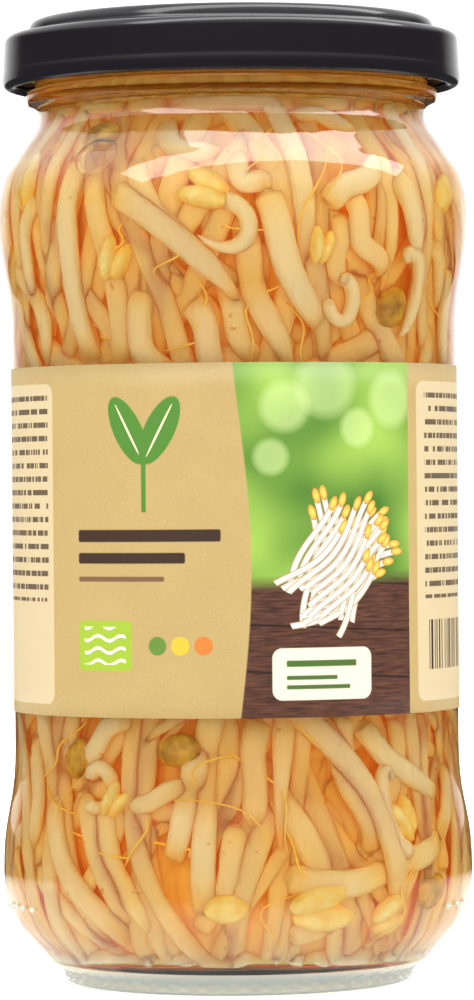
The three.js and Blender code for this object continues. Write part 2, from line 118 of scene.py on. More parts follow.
def chain(start, *legs, steps=8):
    """An outline of radius and height, in mm. From start each leg goes on to its last point.

    A leg of one point is straight, with a point near each end to keep its shading flat. A leg of two
    is a quadratic Bezier curve and one of three a cubic: each point is the sum of the leg's points
    times (1-t) and t to the powers of its order.
    """
    points = [np.array([start], float)]
    for leg in legs:
        knots = np.array([points[-1][-1], *leg], float)
        order = len(knots) - 1
        t = (np.array([0.06, 0.94, 1]) if order == 1 else np.linspace(0, 1, steps + 1)[1:])[:, None]
        points.append(sum(
            math.comb(order, k) * (1 - t) ** (order - k) * t ** k * knots[k] for k in range(order + 1)
        ))
    return np.concatenate(points)


def new_piece(name, points, faces, materials, face_material=None, smooth=True, numbers=None):
    """A mesh object from whole arrays of points (in metres) and faces, with its doubles merged.

    numbers holds, by name, an array with one value for each point, for the materials to read.
    """
    mesh = bpy.data.meshes.new(name)
    mesh.from_pydata(points.reshape(-1, 3), [], faces.tolist())
    for key, values in (numbers or {}).items():
        attribute = mesh.attributes.new(key, "FLOAT", "POINT")
        attribute.data.foreach_set("value", values.ravel().astype(np.float32))
    for material in materials:
        mesh.materials.append(material)
    if face_material is not None:
        mesh.polygons.foreach_set("material_index", face_material.astype(np.int32))
    edit = bmesh.new()
    edit.from_mesh(mesh)
    bmesh.ops.remove_doubles(edit, verts=edit.verts, dist=1e-7)
    edit.to_mesh(mesh)
    edit.free()
    mesh.polygons.foreach_set("use_smooth", np.full(len(mesh.polygons), smooth))
    mesh.update()
    piece = bpy.data.objects.new(name, mesh)
    bpy.context.collection.objects.link(piece)
    return piece


def grid_faces(rows, columns, close_columns=True, close_rows=False):
    """The quads of a grid of points, numbered row by row, with its columns or rows closed in a ring."""
    i = np.arange(rows if close_rows else rows - 1)[:, None]
    j = np.arange(columns if close_columns else columns - 1)[None, :]
    down = (i + 1) % rows
    across = (j + 1) % columns
    corners = (i * columns + j, i * columns + across, down * columns + across, down * columns + j)
    return np.stack(np.broadcast_arrays(*corners), axis=-1).reshape(-1, 4)


def ball(half_sizes, rows, sides):
    """An ellipsoid's three coordinates on a grid: a sin u cos v, b sin u sin v and c cos u."""
    u = np.linspace(0, np.pi, rows)[:, None]
    v = np.linspace(0, 2 * np.pi, sides, endpoint=False)[None, :]
    a, b, c = half_sizes
    return a * np.sin(u) * np.cos(v), b * np.sin(u) * np.sin(v), c * np.cos(u) * np.ones_like(v)


def turned(name, outline, materials, close=True, row_material=None, relief=None, steps=TURN_STEPS):
    """A piece turned about the jar's axis: each outline point (r, z) goes round at every angle.

    relief(angle, r, z) gives the radius again where the surface isn't plainly round.
    """
    angle = np.arange(steps) * 360 / steps
    radius = np.repeat(outline[:, :1], steps, axis=1)
    height = np.repeat(outline[:, 1:], steps, axis=1)
    if relief is not None:
        radius = relief(angle[None, :], radius, height)
    points = around(angle[None, :], radius, height) * MM
    faces = grid_faces(len(outline), steps, close_rows=close)
    face_material = None
    if row_material is not None:
        face_material = np.repeat(row_material, steps)[: len(faces)]
    return new_piece(name, points, faces, materials, face_material)


def dress(piece, body, slot, *nodes):
    """Rides a piece on its body and hides the solids that it stands for. Its slot is not used."""
    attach(piece, body)
    if nodes:
        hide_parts(*nodes)
    return piece


# Camera and light

BACKDROP = 1.4
CEILING = 1.8
UNLIT = 0.03
WINDOW_PLACE = (0.10, -0.22, 0.60)
WINDOW_SIZE = (1.9, 0.30)
WINDOW_WATTS = 12.0
SHOULDER_PLACE = (0, 0, 0.11)
FLOOR_REACH = 3.0
WHITE = (1, 1, 1, 1)


def set_camera():
    """The photograph's camera: level but for the tilt that puts the horizon on its row."""
    data = bpy.data.cameras.new("camera")
    data.sensor_fit = "VERTICAL"
    data.sensor_height = 24
    data.lens = data.sensor_height * FOCAL_PX / IMAGE_HEIGHT
    data.clip_start = 0.01
    camera = bpy.data.objects.new("camera", data)
    bpy.context.collection.objects.link(camera)
    tilt = math.atan((IMAGE_HEIGHT / 2 - HORIZON_ROW) / FOCAL_PX)
    aside = (IMAGE_WIDTH / 2 - AXIS_COLUMN) / FOCAL_PX * CAMERA_DISTANCE
    place = Matrix.Translation((aside, -CAMERA_DISTANCE, CAMERA_HEIGHT))
    pitch = Matrix.Rotation(math.radians(90) - tilt, 4, "X")
    roll = Matrix.Rotation(math.radians(-JAR_LEAN_DEG), 4, "Z")
    camera.matrix_world = place @ pitch @ roll
    bpy.context.scene.camera = camera


def soft_light(name, place, target, width, height, power):
    """A rectangular soft light that faces a target."""
    data = bpy.data.lights.new(name, "AREA")
    data.shape = "RECTANGLE"
    data.size = width
    data.size_y = height
    data.energy = power
    lamp = bpy.data.objects.new(name, data)
    lamp.location = place
    lamp.rotation_euler = (Vector(target) - Vector(place)).to_track_quat("-Z", "Y").to_euler()
    bpy.context.collection.objects.link(lamp)
    return lamp


def set_light():
    """A white studio that is brighter overhead, with a dark camera side for what shines.

    A direction's brightness goes from BACKDROP to CEILING as it rises. In reflections it falls to
    UNLIT towards the camera, unless it is high. A soft light adds the glint on the shoulder.
    """
    world = bpy.data.worlds.new("white studio")
    bpy.context.scene.world = world
    world.use_nodes = True
    sky = Paint("white studio", world)
    _, forward, up = sky.axes(sky.node("TexCoord").outputs["Generated"])
    high = up.ramp(0.35, 0.65)
    brightness = CEILING * high + BACKDROP * (1 - high)
    ray = sky.node("LightPath").outputs
    shining = Wire(sky, ray["Is Glossy Ray"]) * (1 - Wire(sky, ray["Is Transmission Ray"]))
    unlit = (1 - forward.ramp(0.7, 0.97)) * (1 - up.ramp(0.2, 0.45)) * shining
    strength = brightness * (1 - unlit) + UNLIT * unlit
    sky.finish({"Color": WHITE, "Strength": strength}, "Background")
    window = soft_light("window light", WINDOW_PLACE, SHOULDER_PLACE, *WINDOW_SIZE, WINDOW_WATTS)
    window.visible_diffuse = False
    window.visible_transmission = False


def set_scene():
    """Plain colour handling, and enough light bounces for liquid inside glass."""
    scene = bpy.context.scene
    scene.view_settings.view_transform = "Standard"
    scene.cycles.max_bounces = 32
    scene.cycles.diffuse_bounces = 14
    scene.cycles.glossy_bounces = 8
    scene.cycles.transmission_bounces = 24
    scene.cycles.transparent_max_bounces = 12


def lay_floor(material):
    """A pale floor, wide enough to fill the view."""
    corners = np.array([[-1, -1, 0], [1, -1, 0], [1, 1, 0], [-1, 1, 0]]) * FLOOR_REACH
    floor = new_piece("floor", corners, np.array([[0, 1, 2, 3]]), [material], smooth=False)


# Shader writing

def adds(operation):
    """A method of Wire that adds one node of a math operation."""
    return lambda self, *others: self.math(operation, *others)


class Wire:
    """A number in a material. Sums and comparisons of wires and plain numbers add their nodes."""

    __add__ = __radd__ = adds("ADD")
    __sub__ = adds("SUBTRACT")
    __mul__ = __rmul__ = adds("MULTIPLY")
    __truediv__ = adds("DIVIDE")
    __pow__ = adds("POWER")
    __mod__ = adds("FLOORED_MODULO")
    __gt__ = adds("GREATER_THAN")
    __lt__ = adds("LESS_THAN")
    __abs__ = adds("ABSOLUTE")
    most = adds("MAXIMUM")
    least = adds("MINIMUM")
    sin = adds("SINE")

    def __init__(self, paint, socket):
        self.paint = paint
        self.socket = socket

    def math(self, operation, *others, clamp=False):
        """The result of one math node."""
        settings = {"operation": operation, "use_clamp": clamp}
        node = self.paint.node("Math", settings, dict(enumerate((self, *others))))
        return Wire(self.paint, node.outputs[0])

    def __rsub__(self, other):
        return (self * -1).math("ADD", other)

    def unit(self):
        """The number held between 0 and 1."""
        return self.math("ADD", 0.0, clamp=True)

    def ramp(self, low, high):
        """0 below low, 1 above high, and an even rise between."""
        return ((self - low) / (high - low)).unit()


class Paint:
    """One material and its nodes."""

    def __init__(self, name, world=None):
        self.material = world or bpy.data.materials.new(name)
        self.material.use_nodes = True
        self.tree = self.material.node_tree
        self.tree.nodes.clear()
        self.out = self.tree.nodes.new("ShaderNodeOutputWorld" if world else "ShaderNodeOutputMaterial")

    def node(self, kind, settings=None, values=None):
        """A shader node of a kind: its settings first, then the values or links of its sockets."""
        node = self.tree.nodes.new("ShaderNode" + kind)
        for key, value in (settings or {}).items():
            setattr(node, key, value)
        for key, value in (values or {}).items():
            source = value.socket if isinstance(value, Wire) else value
            if isinstance(source, bpy.types.NodeSocket):
                self.tree.links.new(source, node.inputs[key])
            else:
                node.inputs[key].default_value = source
        return node

    def place(self, scale=(1, 1, 1)):
        """The surface point, stretched by a scale."""
        place = self.node("TexCoord").outputs["Object"]
        return self.node("Mapping", {}, {"Vector": place, "Scale": scale}).outputs[0]

    def axes(self, vector):
        """The three numbers of a vector."""
        split = self.node("SeparateXYZ", {}, {0: vector})
        return [Wire(self, output) for output in split.outputs]

    def noise(self, vector, scale, detail=3.0, distortion=0.0):
        """Cloudy noise from 0 to 1."""
        node = self.node(
            "TexNoise", {},
            {"Vector": vector, "Scale": scale, "Detail": detail, "Distortion": distortion},
        )
        return Wire(self, node.outputs[0])

    def joined(self, x, y=0.0):
        """A flat vector of two numbers."""
        return self.node("CombineXYZ", {}, {0: x, 1: y}).outputs[0]

    def attribute(self, name):
        """A number stored on the piece's points."""
        return Wire(self, self.node("Attribute", {"attribute_name": name}).outputs["Fac"])

    def mix(self, share, first, second):
        """One colour or the other, by a share from 0 to 1."""
        node = self.node("Mix", {"data_type": "RGBA"}, {0: share, 6: first, 7: second})
        return node.outputs[2]

    def bump(self, height, distance):
        """A normal that follows a height, whose full step is distance metres."""
        node = self.node("Bump", {}, {"Height": height, "Distance": distance, "Strength": 1.0})
        return node.outputs[0]

    def finish(self, values, shader="BsdfPrincipled"):
        """Closes the material with its surface shader."""
        node = self.node(shader, {}, values)
        self.tree.links.new(node.outputs[0], self.out.inputs["Surface"])
        return self.material


def rgb(red, green, blue):
    """A colour given as screen values from 0 to 255, in linear light."""
    screen = np.array([red, green, blue]) / 255
    linear = np.where(screen <= 0.04045, screen / 12.92, ((screen + 0.055) / 1.055) ** 2.4)
    return (*linear.tolist(), 1.0)


# Finishes

GLASS_IOR = 1.5
BRINE_IOR = 1.34
# The colour of the painted glow: a faint warm emission on the sprout parts in place of the light that
# seeps through the packed mass
GLOW = (1.0, 0.50, 0.15, 1)


def floor_finish():
    """A white floor. In reflections it goes dark in front of the jar and far from it."""
    paint = Paint("pale floor")
    x, y, _ = paint.axes(paint.place())
    ray = paint.node("LightPath").outputs
    reflected = Wire(paint, ray["Is Glossy Ray"]) * (1 - Wire(paint, ray["Is Transmission Ray"]))
    away = x * x + y * y
    in_front = away.ramp(0.0015, 0.006) * (1 - y.ramp(-0.06, 0.03))
    unlit = in_front.most(away.ramp(0.008, 0.04)) * reflected
    return paint.finish({
        "Base Color": paint.mix(unlit, rgb(247, 247, 247), rgb(40, 40, 40)),
        "Emission Color": paint.mix(unlit, rgb(255, 255, 255), rgb(10, 10, 10)),
        "Roughness": 0.9, "Specular IOR Level": 0.0, "Emission Strength": 0.45,
    })


def dry_glass():
    """Clear glass, with the slow waves and the faint orange-peel of a moulded wall."""
    paint = Paint("clear glass")
    wave = paint.noise(paint.place((1, 1, 0.6)), 75, detail=2.0)
    peel = paint.noise(paint.place((1, 1, 0.5)), 140, detail=1.0)
    return paint.finish({
        "Base Color": (0.965, 0.985, 0.975, 1), "Roughness": 0.0, "IOR": GLASS_IOR,
        "Transmission Weight": 1.0, "Normal": paint.bump(wave + peel * 0.2, 0.0004),
    })


def foot_glass():
    """The thick glass of the foot, which looks aqua because the light runs far inside it."""
    paint = Paint("aqua foot glass")
    return paint.finish({
        "Base Color": (0.84, 0.94, 0.88, 1), "Roughness": 0.08, "IOR": GLASS_IOR,
        "Transmission Weight": 0.62,
    })


def clear_skin(name, shader, ior):
    """A smooth clear surface that only bends light, by its index of refraction."""
    return Paint(name).finish({"Color": WHITE, "Roughness": 0.0, "IOR": ior}, shader)


def amber_brine():
    """The amber liquid: blue light is lost first, then green, along the way through it.

    Its open surface reflects as water does. Against the glass it only bends the light.
    """
    paint = Paint("amber brine")
    amber = {"Color": (0.99, 0.73, 0.0, 1), "Density": 205.0}
    body = paint.node("VolumeAbsorption", {}, amber)
    paint.tree.links.new(body.outputs[0], paint.out.inputs["Volume"])
    _, _, height = paint.axes(paint.place())
    at_surface = height > (BRINE_TOP_Z_MM - BRINE_DISH_MM) * MM
    clear = {"Color": WHITE, "Roughness": 0.0, "IOR": BRINE_IOR}
    wall = paint.node("BsdfRefraction", {}, clear).outputs[0]
    surface = paint.node("BsdfGlass", {}, clear).outputs[0]
    return paint.finish({0: at_surface, 1: wall, 2: surface}, "MixShader")


def lid_lacquer():
    """Glossy black lacquer over tinplate, with faint specks and a slight unevenness."""
    paint = Paint("black lacquer")
    place = paint.place()
    cloud = paint.noise(place, 300, detail=2.0)
    return paint.finish({
        "Base Color": rgb(24, 22, 26), "Roughness": 0.12 + cloud * 0.06,
        "IOR": 1.45, "Normal": paint.bump(cloud, 0.00001),
    })


def inner_lacquer():
    """The pale gold lacquer that keeps the brine from the tinplate, with a faint brushed grain."""
    paint = Paint("pale gold lacquer")
    grain = paint.noise(paint.place((1, 6, 1)), 400, detail=3.0)
    return paint.finish({
        "Base Color": paint.mix(grain, rgb(232, 214, 168), rgb(244, 230, 190)), "Metallic": 0.3,
        "Roughness": 0.3 + grain * 0.1,
    })


def gasket_compound():
    """The pale rubbery compound of the sealing ring."""
    paint = Paint("sealing compound")
    cloud = paint.noise(paint.place(), 700)
    return paint.finish({
        "Base Color": paint.mix(cloud, rgb(214, 208, 196), rgb(236, 231, 220)), "Roughness": 0.55,
        "Normal": paint.bump(cloud, 0.00004),
    })


def sprout_flesh():
    """Wet pale stems: nearly white flesh with long faint veins, yellower near the bean and root.

    The faint warm glow stands for the light that seeps through the whole packed mass.
    """
    paint = Paint("sprout flesh")
    tone = paint.attribute("tone")
    along = paint.attribute("along")
    place = paint.place()
    cloud = paint.noise(place, 260, detail=4.0)
    veins = paint.noise(paint.place((1, 1, 0.12)), 1500, detail=2.0)
    pale = paint.mix(tone, rgb(252, 228, 184), rgb(250, 211, 156))
    speck = paint.noise(place, 900, detail=0.0)
    pale = paint.mix(speck.ramp(0.80, 0.84) * 0.6, pale, rgb(206, 140, 84))
    warm = paint.mix((cloud.ramp(0.45, 0.75) * 0.5), pale, rgb(252, 224, 170))
    tipped = paint.mix(along.ramp(0.82, 1.0) * 0.7, warm, rgb(226, 180, 96))
    return paint.finish({
        "Base Color": tipped, "Roughness": 0.45, "IOR": 1.36, "Subsurface Weight": 0.85,
        "Subsurface Radius": (0.8, 0.8, 0.8), "Subsurface Scale": 0.004,
        "Emission Color": GLOW, "Emission Strength": 0.038,
        "Normal": paint.bump(veins, 0.00012),
    })


def bean_yellow():
    """The yellow halves of the bean, a little darker and rougher in their creases."""
    paint = Paint("bean yellow")
    cloud = paint.noise(paint.place(), 500, detail=4.0)
    return paint.finish({
        "Base Color": paint.mix(cloud.ramp(0.3, 0.75), rgb(255, 234, 156), rgb(244, 200, 92)),
        "Roughness": 0.45, "Subsurface Weight": 0.25, "Subsurface Radius": (1.0, 0.7, 0.25),
        "Subsurface Scale": 0.0015, "Normal": paint.bump(cloud, 0.0002),
        # Painted light: a faint warm glow in place of the light that seeps through the packed sprouts
        "Emission Color": GLOW, "Emission Strength": 0.06,
    })


def coat_green():
    """The thin olive skin of the bean, wrinkled, browner where it is folded."""
    paint = Paint("olive seed coat")
    place = paint.place()
    cloud = paint.noise(place, 420, detail=5.0)
    wrinkle = paint.noise(place, 900, detail=4.0, distortion=1.5)
    return paint.finish({
        "Base Color": paint.mix(cloud.ramp(0.35, 0.7), rgb(230, 184, 70), rgb(160, 106, 34)),
        "Roughness": 0.4, "Subsurface Weight": 0.3, "Subsurface Radius": (1.0, 0.8, 0.2),
        "Subsurface Scale": 0.001, "Normal": paint.bump(wrinkle, 0.0003),
        # Painted light: a faint warm glow in place of the light that seeps through the packed sprouts
        "Emission Color": GLOW, "Emission Strength": 0.03,
    })


def root_finish():
    """The thin roots: yellow, from paler to browner."""
    paint = Paint("yellow root threads")
    cloud = paint.noise(paint.place(), 600)
    return paint.finish({
        "Base Color": paint.mix(cloud, rgb(255, 226, 120), rgb(246, 196, 84)), "Roughness": 0.5,
        # Painted light: a faint warm glow in place of the light that seeps through the packed sprouts
        "Emission Color": GLOW, "Emission Strength": 0.06,
    })


# The glass jar

def jar_outside():
    """The outer outline, from the middle of the pushed-up base to the sealing lip."""
    low, high = LOW_BULGE_Z_MM, HIGH_BULGE_Z_MM
    return chain(
        (0, 2), [(15, 1.6)], [(20.6, 1.3), (FOOT_MM - FOOT_WIDTH_MM, 0)], [(FOOT_MM, 0)],
        [(24.9, 0.05), (25.1, 0.8)], [(25.5, 2.2), (27.3, 3.2)], [(31.2, 7.5)],
        [(BULGE_MM - 0.1, 10.4), (BULGE_MM, low - 1)],
        [(BULGE_MM, low + 8), (PANEL_MM, PANEL_LOW_Z_MM - 8), (PANEL_MM, PANEL_LOW_Z_MM + 1)],
        [(PANEL_MM, PANEL_HIGH_Z_MM - 1)],
        [(PANEL_MM, PANEL_HIGH_Z_MM + 6), (BULGE_MM, high - 7), (BULGE_MM, high + 0.5)],
        [(BULGE_MM - 0.1, 115.2), (31.5, 117.8)], [(29.2, 121.2)],
        [(NECK_MM, 123), (NECK_MM, NECK_Z_MM)], [(NECK_MM, 125.7), (BEAD_MM - 0.5, 126.1)],
        [(BEAD_MM + 0.3, 127), (BEAD_MM - 0.3, 128)], [(FINISH_MM, 128.3)],
        *[[(FINISH_MM, float(z))] for z in np.arange(130, 134.5, 0.4)],
        [(FINISH_MM, LIP_Z_MM - 0.9)], [(FINISH_MM, LIP_Z_MM), (FINISH_MM - 1, LIP_Z_MM)],
        steps=10,
    )


def jar_inside():
    """The inner outline, from the sealing lip down to the middle of the floor."""
    bulge, panel = BULGE_INNER_MM, PANEL_INNER_MM
    low, high = LOW_BULGE_Z_MM, HIGH_BULGE_Z_MM
    return chain(
        (MOUTH_MM + 0.9, LIP_Z_MM), [(MOUTH_MM, LIP_Z_MM), (MOUTH_MM, LIP_Z_MM - 1)],
        [(MOUTH_MM, BRINE_TOP_Z_MM)], [(MOUTH_MM, 124)], [(MOUTH_MM, 121.4), (27.6, 119)],
        [(bulge, 115.4), (bulge, high - 1)],
        [(bulge, high - 8), (panel, PANEL_HIGH_Z_MM + 5), (panel, PANEL_HIGH_Z_MM - 3)],
        [(panel, PANEL_LOW_Z_MM + 3)],
        [(panel, PANEL_LOW_Z_MM - 6), (bulge, low + 8), (bulge, low)],
        [(bulge, 11.4), (28.4, 8)], [(25.4, FLOOR_Z_MM), (FLOOR_MM, FLOOR_Z_MM)],
        [(0, FLOOR_Z_MM + FLOOR_RISE_MM)],
        steps=10,
    )


def inner_wall(z):
    """The inner wall's radius at heights: read between the points of the inner outline."""
    outline = jar_inside()[::-1]
    return np.interp(z, outline[1:, 1], outline[1:, 0])


def foot_relief(angle, radius, height):
    """The foot's fine knurl: small humps along the rounded edge between the ring and the heel."""
    band = np.clip(1 - np.abs(height - 1.5) / 1.3, 0, 1) * (radius > 24.5)
    humps = np.sin(np.radians(angle * KNURL_COUNT)) * np.sin(height * 4.2)
    return radius - KNURL_MM * band * (1 - humps)


def thread_relief(angle, radius, height):
    """The four thread ridges: 57 degrees long, each climbing 1.6 mm in 65 degrees, with tapered ends.

    A ridge stands out of the finish where its underside and its top enclose the height, with a slope
    of a quarter of a millimetre at both.
    """
    turn = (angle - THREAD_START_DEG) % 90
    along = np.clip(turn / THREAD_SPAN_DEG, 0, 1)
    swell = np.clip(3.5 * np.sin(np.pi * along), 0, 1)
    underside = THREAD_LOW_Z_MM + THREAD_CLIMB_MM * turn
    top = underside + THREAD_THICK_MM * swell
    above = np.clip((height - underside) / THREAD_SLOPE_MM, 0, 1)
    below = np.clip((top - height) / THREAD_SLOPE_MM, 0, 1)
    on_finish = np.abs(radius - FINISH_MM) < 0.01
    return radius + (THREAD_MM - FINISH_MM) * swell * above * below * on_finish


def jar_relief(angle, radius, height):
    """All that isn't turned on the jar: the knurl of the foot and the thread ridges."""
    return thread_relief(angle, foot_relief(angle, radius, height), height)


def make_jar(dry, foot, wet):
    """The jar's glass: outer outline up, inner outline down, in one closed shell."""
    outside = jar_outside()
    inside = jar_inside()
    outline = np.concatenate([outside, inside])
    heights = outline[:, 1]
    is_inside = np.arange(len(outline)) >= len(outside)
    wetted = is_inside & (heights <= BRINE_TOP_Z_MM + 1e-6)
    at_foot = ~is_inside & (heights < FOOT_HIGH_Z_MM)
    row_material = np.where(wetted, 2, np.where(at_foot, 1, 0))
    jar = turned(
        "glass_jar", outline, [dry, foot, wet], close=False, row_material=row_material,
        relief=jar_relief, steps=JAR_STEPS,
    )
    return dress(jar, "jar", "clear_glass", "jar_glass")


def make_mould_dots(material):
    """The little round dots that the mould leaves low on the wall: balls sunk partly into it."""
    rows, sides = 9, 16
    side, up, deep = ball((DOT_MM, DOT_MM, DOT_MM), rows, sides)
    radius = BULGE_MM - DOT_SUNK_MM - deep
    points = [
        around(angle + np.degrees(side / BULGE_MM), radius, DOT_Z_MM + up) for angle in DOT_DEGS
    ]
    faces = tube_faces(len(points), rows, sides)
    dots = new_piece("mould_dots", np.array(points) * MM, faces, [material])
    return dress(dots, "jar", "clear_glass", "jar_glass")


def make_brine(material):
    """The brine: all that the jar holds up to its level, a hair into the glass so that no air shows."""
    inside = jar_inside()[::-1]
    wall = inside[inside[:, 1] <= BRINE_TOP_Z_MM + 1e-6] + np.array([WET_OVERLAP_MM, 0])
    wall[0] = (0, FLOOR_Z_MM + FLOOR_RISE_MM - WET_OVERLAP_MM)
    wall[1, 1] -= WET_OVERLAP_MM
    level = BRINE_TOP_Z_MM - 0.8
    top = chain(
        (wall[-1, 0], BRINE_TOP_Z_MM),
        [(MOUTH_MM - 1.5, level + 0.1), (20, level)],
        [(0, level)],
    )[1:]
    brine = turned("brine_fill", np.concatenate([wall, top]), [material], close=False)
    return dress(brine, "jar", "amber_brine", "brine")


# The closure

def make_lid(outside, inside):
    """The lid: its outline up the outside from the curl, over the top and back along the inside.

    The inside, from the middle of the top back to the curl, has a lacquer of its own.
    """
    top, low = TOP_Z_MM, LID_BOTTOM_Z_MM
    inner = LID_MM - 0.3 - SHEET_MM
    outline = chain(
        (LID_MM - 1.1, low), [(LID_MM, low), (LID_MM, low + 1.1)],
        [(LID_MM, low + 1.8), (LID_MM - 0.1, low + 2.4)], [(LID_MM - 0.3, top - 3.2)],
        [(LID_MM - 0.4, top - 2.1), (31.4, top - 2.1)], [(29.9, top - 2.1)],
        [(29.3, top - 2.1), (29.25, top - 1.4)], [(29.1, top), (28, top)], [(26.2, top)],
        [(25.3, top - 0.05), (24.9, top - 0.8)], [(11.2, top - 0.8)],
        [(10.8, top - 0.85), (10.4, top - 1.2)], [(5, top - 1.5), (0, top - 1.5)],
        [(0, top - 1.5 - SHEET_MM)], [(10.6, top - 1.2 - SHEET_MM)],
        [(11.4, top - 0.8 - SHEET_MM)], [(25.1, top - 0.8 - SHEET_MM)],
        [(26.2, top - SHEET_MM)], [(28.4, top - SHEET_MM)], [(28.9, top - 2.6)],
        [(31, top - 2.1 - SHEET_MM)], [(inner, top - 3.7)], [(inner, low + 2.6)],
        [(31, low + 2)], [(30.6, low), (LID_MM - 1.1, low)],
    )[:-1]
    middle = np.argmin(outline[:, 0])
    rows = np.arange(len(outline))
    within = (rows > middle) & (outline[:, 1] > low + 2)
    lid = turned(
        "lid_cap", outline, [outside, inside], row_material=within.astype(int), relief=lug_relief,
        steps=LID_STEPS,
    )
    return dress(lid, "closure", "black_lacquer", "lid")


def lug_relief(angle, radius, height):
    """Where a lug is pressed in, the curl's inner side stands inwards, fading over its two ends."""
    from_lug = np.abs((angle - LUG_DEG + 45) % 90 - 45)
    press = np.clip((LUG_HALF_DEG - from_lug) / 2.5, 0, 1)
    curl = (height < LID_BOTTOM_Z_MM + 1.7) & (radius < 31.6)
    return radius - LUG_MM * press * curl


def make_gasket(material):
    """The ring of sealing compound, rounded at its edges."""
    low, high = LIP_Z_MM + 0.3, TOP_Z_MM - SHEET_MM - 0.3
    outline = chain(
        (26.4, low), [(28, low)], [(28.2, low), (28.2, low + 0.2)], [(28.1, high)], [(26.4, high)],
        [(25.9, high), (25.8, high - 0.5)], [(25.9, low), (26.4, low)], steps=4,
    )[:-1]
    return dress(turned("sealing_ring", outline, [material]), "seal", "sealing_compound", "lid_gasket")


# The label

LABEL_LOW_MM = 39.1
LABEL_HIGH_MM = 88.2
LABEL_WRAP_DEG = 352
LABEL_INNER_MM = PANEL_MM + 0.05
LABEL_PAPER_MM = 0.12
BUNCH_MM = (14.5, 20)
PICTURE_DISCS = ((7, 43, 3.4), (13, 46, 4.4), (24, 44, 3.8), (5, 36, 2.4), (18, 40, 2.6))
# The picture's layers of stems, each as: turn in degrees, phase and half the count of stems
PICTURE_LAYERS = ((88, 0.4, 4), (24, 2.9, 4), (66, 5.1, 5), (40, 1.7, 4), (58, 3.8, 4), (50, 0.9, 3))


def make_label(material):
    """The paper band: a thin section carried round the panel, its two ends lifting at the back."""
    steps = LABEL_WRAP_DEG
    angle = np.linspace(-LABEL_WRAP_DEG / 2, LABEL_WRAP_DEG / 2, steps + 1)[:, None]
    up = np.linspace(LABEL_LOW_MM, LABEL_HIGH_MM, 13)
    height = np.concatenate([up, up[::-1]])[None, :]
    outer = (np.arange(26) < 13)[None, :]
    lift = 0.12 * np.clip((np.abs(angle) - 174) / 2, 0, 1) ** 2
    ripple = 0.012 * np.sin(np.radians(angle * 7) + height * 0.2)
    radius = LABEL_INNER_MM + LABEL_PAPER_MM * outer + lift + ripple * outer
    points = around(angle, radius, height) * MM
    faces = grid_faces(26, steps + 1, close_columns=False, close_rows=True)
    order = (faces % (steps + 1)) * 26 + faces // (steps + 1)
    left_end = np.array([[i, i + 1, 24 - i, 25 - i] for i in range(12)])
    right_end = (left_end + steps * 26)[:, ::-1]
    arc = np.radians(np.repeat(angle, 26, axis=1)) * (LABEL_INNER_MM + LABEL_PAPER_MM)
    rise = np.repeat(height, steps + 1, axis=0) - LABEL_LOW_MM
    front = np.repeat(outer, steps + 1, axis=0)
    label = new_piece(
        "paper_label", points, np.concatenate([order, left_end, right_end]), [material],
        numbers={"arc_mm": arc, "up_mm": rise, "printed": front.astype(float)},
    )
    return dress(label, "jar", "label_paper", "label")


def box_mask(x, y, left, right, low, high, corner=0.0, soft=0.08):
    """1 inside a rectangle with rounded corners, 0 outside, in mm: from its signed distance."""
    across = abs(x - (left + right) / 2) - ((right - left) / 2 - corner)
    along = abs(y - (low + high) / 2) - ((high - low) / 2 - corner)
    outside = (across.most(0) ** 2 + along.most(0) ** 2) ** 0.5 + across.most(along).least(0) - corner
    return 1 - outside.ramp(-soft, soft)


def oval_mask(x, y, middle, size, turn=0.0, soft=0.06):
    """1 inside an oval of two half sizes turned by an angle in degrees, in mm."""
    cos, sin = math.cos(math.radians(turn)), math.sin(math.radians(turn))
    long = ((x - middle[0]) * cos + (y - middle[1]) * sin) / size[0]
    wide = ((y - middle[1]) * cos - (x - middle[0]) * sin) / size[1]
    return 1 - (long ** 2 + wide ** 2).ramp(1 - soft, 1 + soft)


